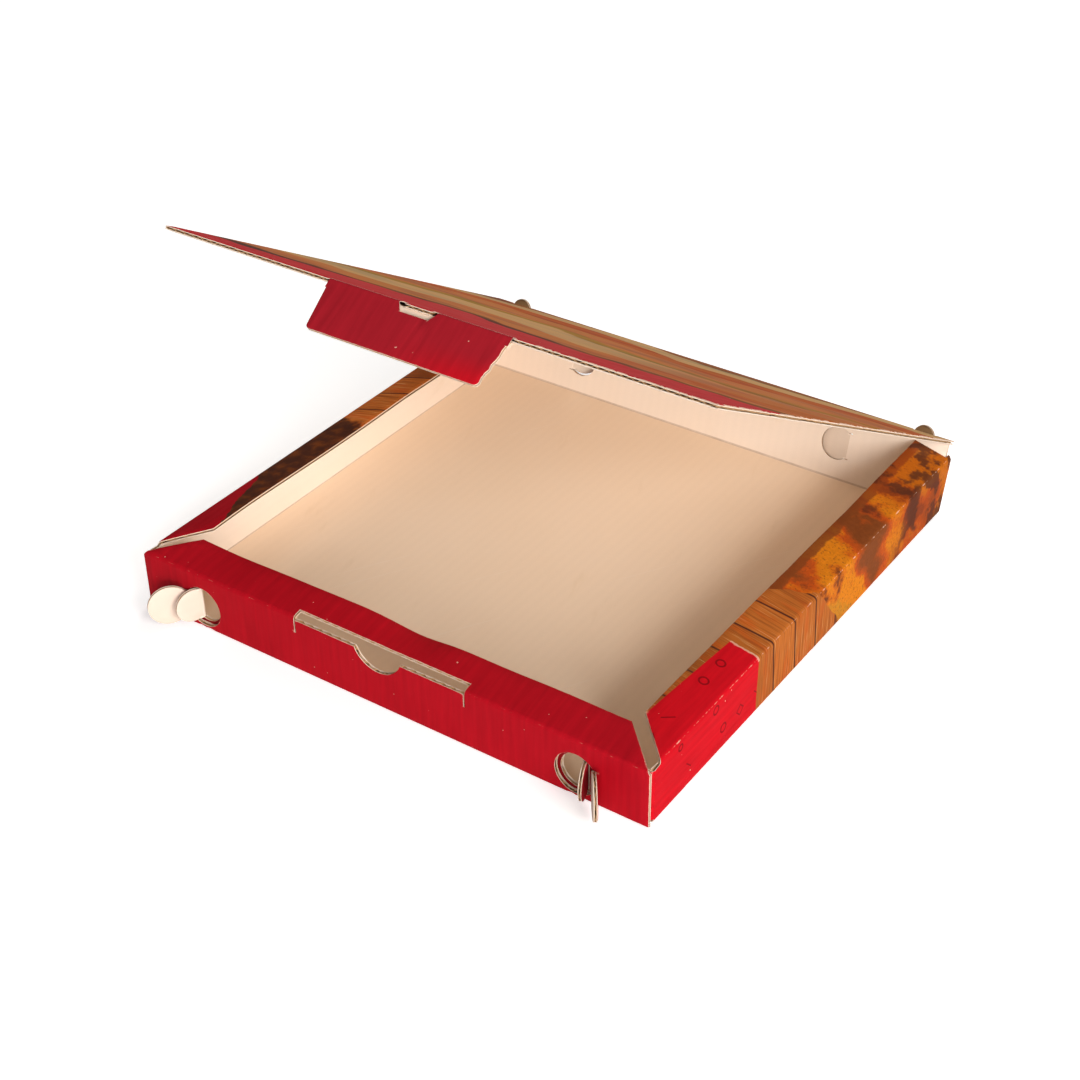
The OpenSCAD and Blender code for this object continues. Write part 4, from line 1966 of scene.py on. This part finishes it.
@dataclass
class TuckFlap:
    """Locking flap on the lid's front crease."""

    shop: Workshop
    lid: Lid
    fold: float = 60.0
    length: float = 0.0285
    half_w: float = 0.055
    tip_half: float = 0.0515
    corner_r: float = 0.0025
    notch_half: float = 0.0115
    notch_tip_half: float = 0.0085
    notch_l: float = 0.0045
    fray: float = 0.0009
    fray_step: float = 0.0026
    seed: int = 7

    def __post_init__(self) -> None:
        """Works out the flap's direction."""
        cos, sin = direction(math.radians(self.fold))
        x, y = self.lid.leaf.along
        self.leaf = Leaf(self.lid.flap, np.array((x * cos - y * sin, x * sin + y * cos)))

    def build(self) -> None:
        """Makes the flap's pieces."""
        looks = self.shop.finishes
        self.shop.make("tuck_flap", [self.panel()], looks.red_print, looks.lining)

    def panel(self) -> Panel:
        """The flap's one panel."""
        board = self.shop.board
        ends = [self.leaf.face(distance, board.middle) for distance in (0.0, self.length)]
        path = self.shop.path(ends)
        taper = (self.half_w - self.tip_half) / self.length
        slope = math.hypot(1, taper)
        corner_s = self.length - self.corner_r
        corner_a = self.half_w - taper * corner_s - self.corner_r * slope
        lean = math.degrees(math.atan(taper))
        inner = [(self.notch_tip_half, self.notch_l), (self.notch_half, 0.0)]
        corner = arc((corner_a, corner_s), self.corner_r, lean, 90)
        torn = frayed((self.half_w, 0.0), corner[0], self.fray, self.fray_step, self.seed) + corner[1:]
        left = [*inner, (self.half_w, 0.0), *corner]
        outline = inner + torn + [(-a, s) for a, s in reversed(left)]

        def blank(a: Array, s: Array) -> Pair:
            """Place on the flat sheet."""
            return a, -s

        return Panel(board, path, Domain(outline), section_axes(), blank, start_joins)


@dataclass
class Vent:
    """Round punched flap that swings on its crease.

    Attributes:
        shop: What it is made with.
        body: Name of its body.
        crease: Middle of its crease.
        up: Direction of the crease.
        across: Direction of the shut flap from its crease.
        inward: Direction into the box.
        open: Angle that it stands out, in degrees.
        radius: Radius of the flap.
        chord: Distance of the crease from the flap's centre.
        outer: Material of its outer face.
        inner: Material of its inner face.
        flutes_up: True if the flutes run along the crease.
        sheet: Place of the crease's middle on the flat sheet.
        bead: Distance of the outer face from the crease's axis.
        lap: How far the paper over the crease reaches onto the flap.
        wall_lap: How far it reaches onto the wall.
        end_lap: How far it reaches past the crease's ends.
    """

    shop: Workshop
    body: str
    crease: Vector
    up: Vector
    across: Vector
    inward: Vector
    open: float
    radius: float
    chord: float
    outer: Material
    inner: Material
    flutes_up: bool = True
    sheet: Point = (0.0, 0.0)
    bead: float = 0.0005
    lap: float = 0.0022
    wall_lap: float = 0.00275
    end_lap: float = 0.001

    def build(self) -> None:
        """Makes the flap's pieces and the paper over its crease."""
        self.shop.make(self.body, [self.panel()], self.outer, self.inner)
        self.crease_paper().build()

    def panel(self) -> Panel:
        """The flap's one panel."""
        turn = math.radians(self.open)
        p = math.cos(turn) * self.across - math.sin(turn) * self.inward
        q = math.cos(turn) * self.inward + math.sin(turn) * self.across
        path = self.shop.path([(0.0, -self.bead), (self.chord + self.radius, -self.bead)])
        outline = flat_circle((0.0, self.chord), self.radius, self.chord, -90)

        def blank(a: Array, s: Array) -> Pair:
            """Place on the flat sheet."""
            u, v = self.sheet
            return (u + self.across.x * s, v + a) if self.flutes_up else (a, s)

        axes = section_axes(self.crease, self.up, p, q)
        return Panel(self.shop.board, path, Domain(outline), axes, blank, start_joins)

    def crease_paper(self) -> CreasePaper:
        """Inner liner that goes on over the crease into the wall."""
        turn = math.radians(self.open)
        radius = self.shop.board.thickness - self.bead
        onto, wall = np.array((math.cos(turn), -math.sin(turn))), np.array((1.0, 0.0))
        end = tuple(self.lap * onto + radius * np.array((math.sin(turn), math.cos(turn))))
        start = (-self.wall_lap, radius)
        half = math.sqrt(self.radius**2 - self.chord**2) + self.end_lap
        axes = section_axes(self.crease, self.up, self.across, self.inward)
        corners = (end, crossing(end, onto, start, wall), start)
        name, spans, bodies = f"{self.body}_crease", [(-half, half)], (self.body, "tray")
        lining = self.shop.finishes.lining
        return CreasePaper(self.shop, name, corners, spans, bodies, lining, True, radius, axes=axes)


@dataclass
class CreasePaper:
    """Liner that bends over a crease, between the two bodies beside it.

    Attributes:
        shop: What it is made with.
        name: Name of the piece.
        corners: Its section: start, sharp corner and end.
        spans: Where it starts and ends along the crease, stretch by stretch.
        bodies: The body at its start and the one at its end; not used.
        surface: Material of its finished face.
        out: True if it lies on the outside of the fold.
        radius: Radius of the fold, at its finished face.
        blank_v: Place of the fold on the flat sheet.
        axes: Matrix of the section.
        sunk: Depth of its finished face under the liners beside it.
        paper: Its thickness.
    """

    shop: Workshop
    name: str
    corners: Sequence[Point]
    spans: Sequence[Span]
    bodies: tuple[str, str]
    surface: Material
    out: bool
    radius: float
    blank_v: float = 0.0
    axes: Matrix = field(default_factory=section_axes)
    sunk: float = 0.00006
    paper: float = 0.00024

    def build(self) -> None:
        """Makes the strip in its place."""
        board = self.shop.board
        path = FoldPath(self.corners, self.radius, board.fold_steps)
        bend = path.fold(0)
        middle = bend.start + bend.length / 2

        def blank(a: Array, s: Array) -> Pair:
            """Place on the flat sheet."""
            return a, self.blank_v + middle - s

        mesh = SheetMesh()
        depths = (self.sunk, self.sunk + self.paper) if self.out else (-self.sunk - self.paper, -self.sunk)
        for low, high in self.spans:
            outline = rectangle(low, high, path.length)
            panel = Panel(board, path, Domain(outline), self.axes, blank, strip=True)
            mesh.add_shell(panel, *depths, self.out)
        piece = mesh.to_object(self.name, (self.surface, self.shop.finishes.edge))
        ends = [self.axes @ Vector((0.0, *path.spot(s))) for s in (bend.start, bend.start + bend.length)]
        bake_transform(piece)


@dataclass
class PizzaBox:
    """The whole box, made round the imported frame, whose joints are given by name. Angles are in degrees."""

    shop: Workshop
    joints: dict[str, dict[str, Any]]
    half_w: float
    half_d: float
    front_vent_r: float = 0.0121
    front_vent_open: float = 126.0
    tab_vent_r: float = 0.0102
    tab_turn_share: float = 0.88
    back_vent_r: float = 0.0103
    back_left_open: float = 35.0
    back_right_open: float = 4.0
    crease_lap: float = 0.0045
    inner_fold_r: float = 0.0002

    def at(self, joint: str) -> Vector:
        """Place of a joint's axis."""
        return Vector(self.joints[joint]["pos_m"])

    def build(self) -> None:
        """Makes every sub-assembly."""
        hinge, flap = self.at("lid_hinge"), self.at("flap_fold")
        tray = Tray(self.shop, self.half_w, self.half_d, hinge.z)
        tray.build()
        lid = Lid(self.shop, self.half_w, (hinge.y, hinge.z), (flap.y, flap.z))
        lid.build()
        tuck = TuckFlap(self.shop, lid)
        tuck.build()
        for crease in self.creases(tray, lid, tuck):
            crease.build()
        for vent in self.vents(tray):
            vent.build()

    def creases(self, tray: Tray, lid: Lid, tuck: TuckFlap) -> list[CreasePaper]:
        """Paper over the lid's hinge and the tuck flap's fold, outside and inside."""
        shop, looks, board = self.shop, self.shop.finishes, self.shop.board
        half, lap = board.middle, self.crease_lap
        lean = np.array((tray.sin_lean, tray.cos_lean))
        ear_in, ear_out = lid.ear_x - lid.ear_notch_r, lid.ear_x + lid.ear_notch_r
        hinge_spans = [(-ear_in, ear_in), (ear_out, tray.floor_half), (-tray.floor_half, -ear_out)]
        flap_spans = [(tuck.notch_half, tuck.half_w), (-tuck.half_w, -tuck.notch_half)]
        made: list[CreasePaper] = []
        for name, side, across in (("outside", half, board.thickness), ("inside", -half, 0.0)):
            out = side > 0
            radius = board.middle if out else self.inner_fold_r
            low, top = tray.on_back(across, tray.back_up - lap), lid.leaf.face(lap, side)
            section = (low, crossing(low, lean, top, lid.leaf.along), top)
            paper = looks.lid_print if out else looks.lining
            bodies = ("tray", "lid")
            piece = f"hinge_{name}"
            made.append(
                CreasePaper(shop, piece, section, hinge_spans, bodies, paper, out, radius, lid.length)
            )
            low, top = lid.leaf.face(lid.reach - lap, side), tuck.leaf.face(lap, side)
            section = (low, crossing(low, lid.leaf.along, top, tuck.leaf.along), top)
            spans = flap_spans if out else [(-tuck.half_w, tuck.half_w)]
            paper = looks.red_print if out else looks.lining
            bodies = ("lid", "tuck_flap")
            piece = f"flap_fold_{name}"
            made.append(CreasePaper(shop, piece, section, spans, bodies, paper, out, radius))
        return made

    def vents(self, tray: Tray) -> list[Vent]:
        """The six punched flaps, on their joints' axes."""
        shop, looks = self.shop, self.shop.finishes
        up, back = Vector((0, 0, 1)), Vector((0, 1, 0))
        lean_up = Vector((0, tray.sin_lean, tray.cos_lean))
        lean_in = Vector((0, -tray.cos_lean, tray.sin_lean))
        tab_open = self.front_vent_open * self.tab_turn_share
        front_sizes = (self.front_vent_open, self.front_vent_r, tray.vent.chord)
        tab_sizes = (tab_open, self.tab_vent_r, tray.tab_vent.chord)
        front_papers = (looks.red_print, looks.vent_lining)
        # The back vents' inner faces carry painted shade.
        rear_papers = (looks.tray_print, looks.soiled_lining)
        made: list[Vent] = []
        for side, sign, opened in (("left", 1, self.back_left_open), ("right", -1, self.back_right_open)):
            across = Vector((sign, 0, 0))
            names = (f"front_{side}_vent", f"front_{side}_tab_vent", f"back_{side}_vent")
            front, tab, rear = ((name, self.at(f"{name}_crease")) for name in names)
            rear_sizes = (opened, self.back_vent_r, tray.back_vent.chord)
            on_sheet = (rear[1].x, tray.back_sheet(tray.back_vent_up))
            made += [
                Vent(shop, *front, up, across, back, *front_sizes, *front_papers),
                Vent(shop, *tab, up, across, back, *tab_sizes, *front_papers, flutes_up=False),
                Vent(shop, *rear, lean_up, across, lean_in, *rear_sizes, *rear_papers, sheet=on_sheet),
            ]
        return made


@dataclass(frozen=True)
class Lamp:
    """Soft square lamp that looks at the box.

    Attributes:
        name: Its name.
        at: Its place.
        power: Its power, in watts.
        size: Width of its face.
    """

    name: str
    at: Place
    power: float
    size: float

    def build(self, colour: Colour) -> None:
        """Makes the lamp."""
        data = bpy.data.lights.new(self.name, "AREA")
        data.energy = self.power
        data.size = self.size
        data.color = colour
        lamp = bpy.data.objects.new(self.name, data)
        lamp.location = self.at
        lamp.rotation_euler = (-Vector(self.at)).to_track_quat("-Z", "Y").to_euler()
        bpy.context.scene.collection.objects.link(lamp)


@dataclass(frozen=True)
class Studio:
    """Pale floor, soft lamps and the camera of the photograph."""

    eye: Place = (0.5126, -0.7525, 0.6405)
    target: Place = (-0.0185, 0.0098, 0.0)
    roll: float = -0.6
    focal_px: float = 1910.06
    frame_px: float = 1080.0
    sensor: float = 36.0
    floor_size: float = 12.0
    floor_white: float = 0.9
    floor_glow: float = 0.52
    world_light: float = 0.11
    warm: Colour = (1.0, 0.985, 0.96)
    lamps: tuple[Lamp, ...] = (
        Lamp("key_light", (2.84, -1.33, 1.57), 89.0, 1.4),
        Lamp("fill_light", (1.5, -2.35, 0.72), 42.0, 1.2),
        Lamp("back_light", (-0.4, 2.2, 2.6), 45.0, 1.6),
    )

    def build(self) -> None:
        """Makes the floor, the light and the camera."""
        scene = bpy.context.scene
        scene.view_settings.view_transform = "Standard"
        self.world(scene)
        self.floor()
        for lamp in self.lamps:
            lamp.build(self.warm)
        scene.camera = self.camera()

    def world(self, scene: bpy.types.Scene) -> None:
        """Even light all round, white behind the object."""
        world = bpy.data.worlds.new("studio")
        world.use_nodes = True
        tree = NodeTree(world.node_tree)
        path = tree.node("ShaderNodeLightPath")
        seen = path.outputs["Is Camera Ray"]
        light = tree.node("ShaderNodeBackground", Color=self.warm, Strength=self.world_light)
        white = tree.node("ShaderNodeBackground", Color=(1.0, 1.0, 1.0), Strength=1.0)
        both = tree.node("ShaderNodeMixShader", in0=seen, in1=light.outputs[0], in2=white.outputs[0])
        tree.node("ShaderNodeOutputWorld", Surface=both.outputs[0])
        scene.world = world

    def floor(self) -> None:
        """Pale floor that keeps the shadow."""
        half = self.floor_size / 2
        mesh = bpy.data.meshes.new("floor")
        corners = [(-half, -half, 0), (half, -half, 0), (half, half, 0), (-half, half, 0)]
        mesh.from_pydata(corners, [], [(0, 1, 2, 3)])
        floor = bpy.data.objects.new("floor", mesh)
        bpy.context.scene.collection.objects.link(floor)
        material = bpy.data.materials.new("pale_floor")
        material.use_nodes = True
        tree = NodeTree(material.node_tree)
        path = tree.node("ShaderNodeLightPath")
        matt = tree.node("ShaderNodeBsdfDiffuse", Color=(self.floor_white,) * 3)
        glow = tree.node("ShaderNodeEmission", Color=(1.0, 1.0, 1.0), Strength=self.floor_glow)
        lit = tree.node("ShaderNodeAddShader", in0=matt.outputs[0], in1=glow.outputs[0])
        both = tree.node(
            "ShaderNodeMixShader", in0=path.outputs["Is Camera Ray"], in1=matt.outputs[0], in2=lit.outputs[0]
        )
        tree.node("ShaderNodeOutputMaterial", Surface=both.outputs[0])
        mesh.materials.append(material)

    def camera(self) -> bpy.types.Object:
        """Camera at the photograph's viewing angle."""
        data = bpy.data.cameras.new("camera")
        data.sensor_width = self.sensor
        data.lens = self.focal_px * self.sensor / self.frame_px
        eye = Vector(self.eye)
        ahead = (Vector(self.target) - eye).normalized()
        right = ahead.cross(Vector((0, 0, 1))).normalized()
        above = right.cross(ahead)
        turn = math.radians(self.roll)
        side = math.cos(turn) * right + math.sin(turn) * above
        matrix = Matrix((side, side.cross(ahead), -ahead)).transposed().to_4x4()
        matrix.translation = eye
        camera = bpy.data.objects.new("camera", data)
        camera.matrix_world = matrix
        bpy.context.scene.collection.objects.link(camera)
        return camera


def main() -> None:
    """Builds the box and its studio."""
    logging.basicConfig(level=logging.INFO, format="%(message)s")
    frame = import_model()
    low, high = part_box("tray")
    board = Board()
    shop = Workshop(board, Finishes.make(board), FluteMaker(board))
    joints = {joint["name"]: joint for joint in frame["joints"]}
    PizzaBox(shop, joints, high.x, -low.y).build()
    Studio().build()


if __name__ == "__main__":
    main()
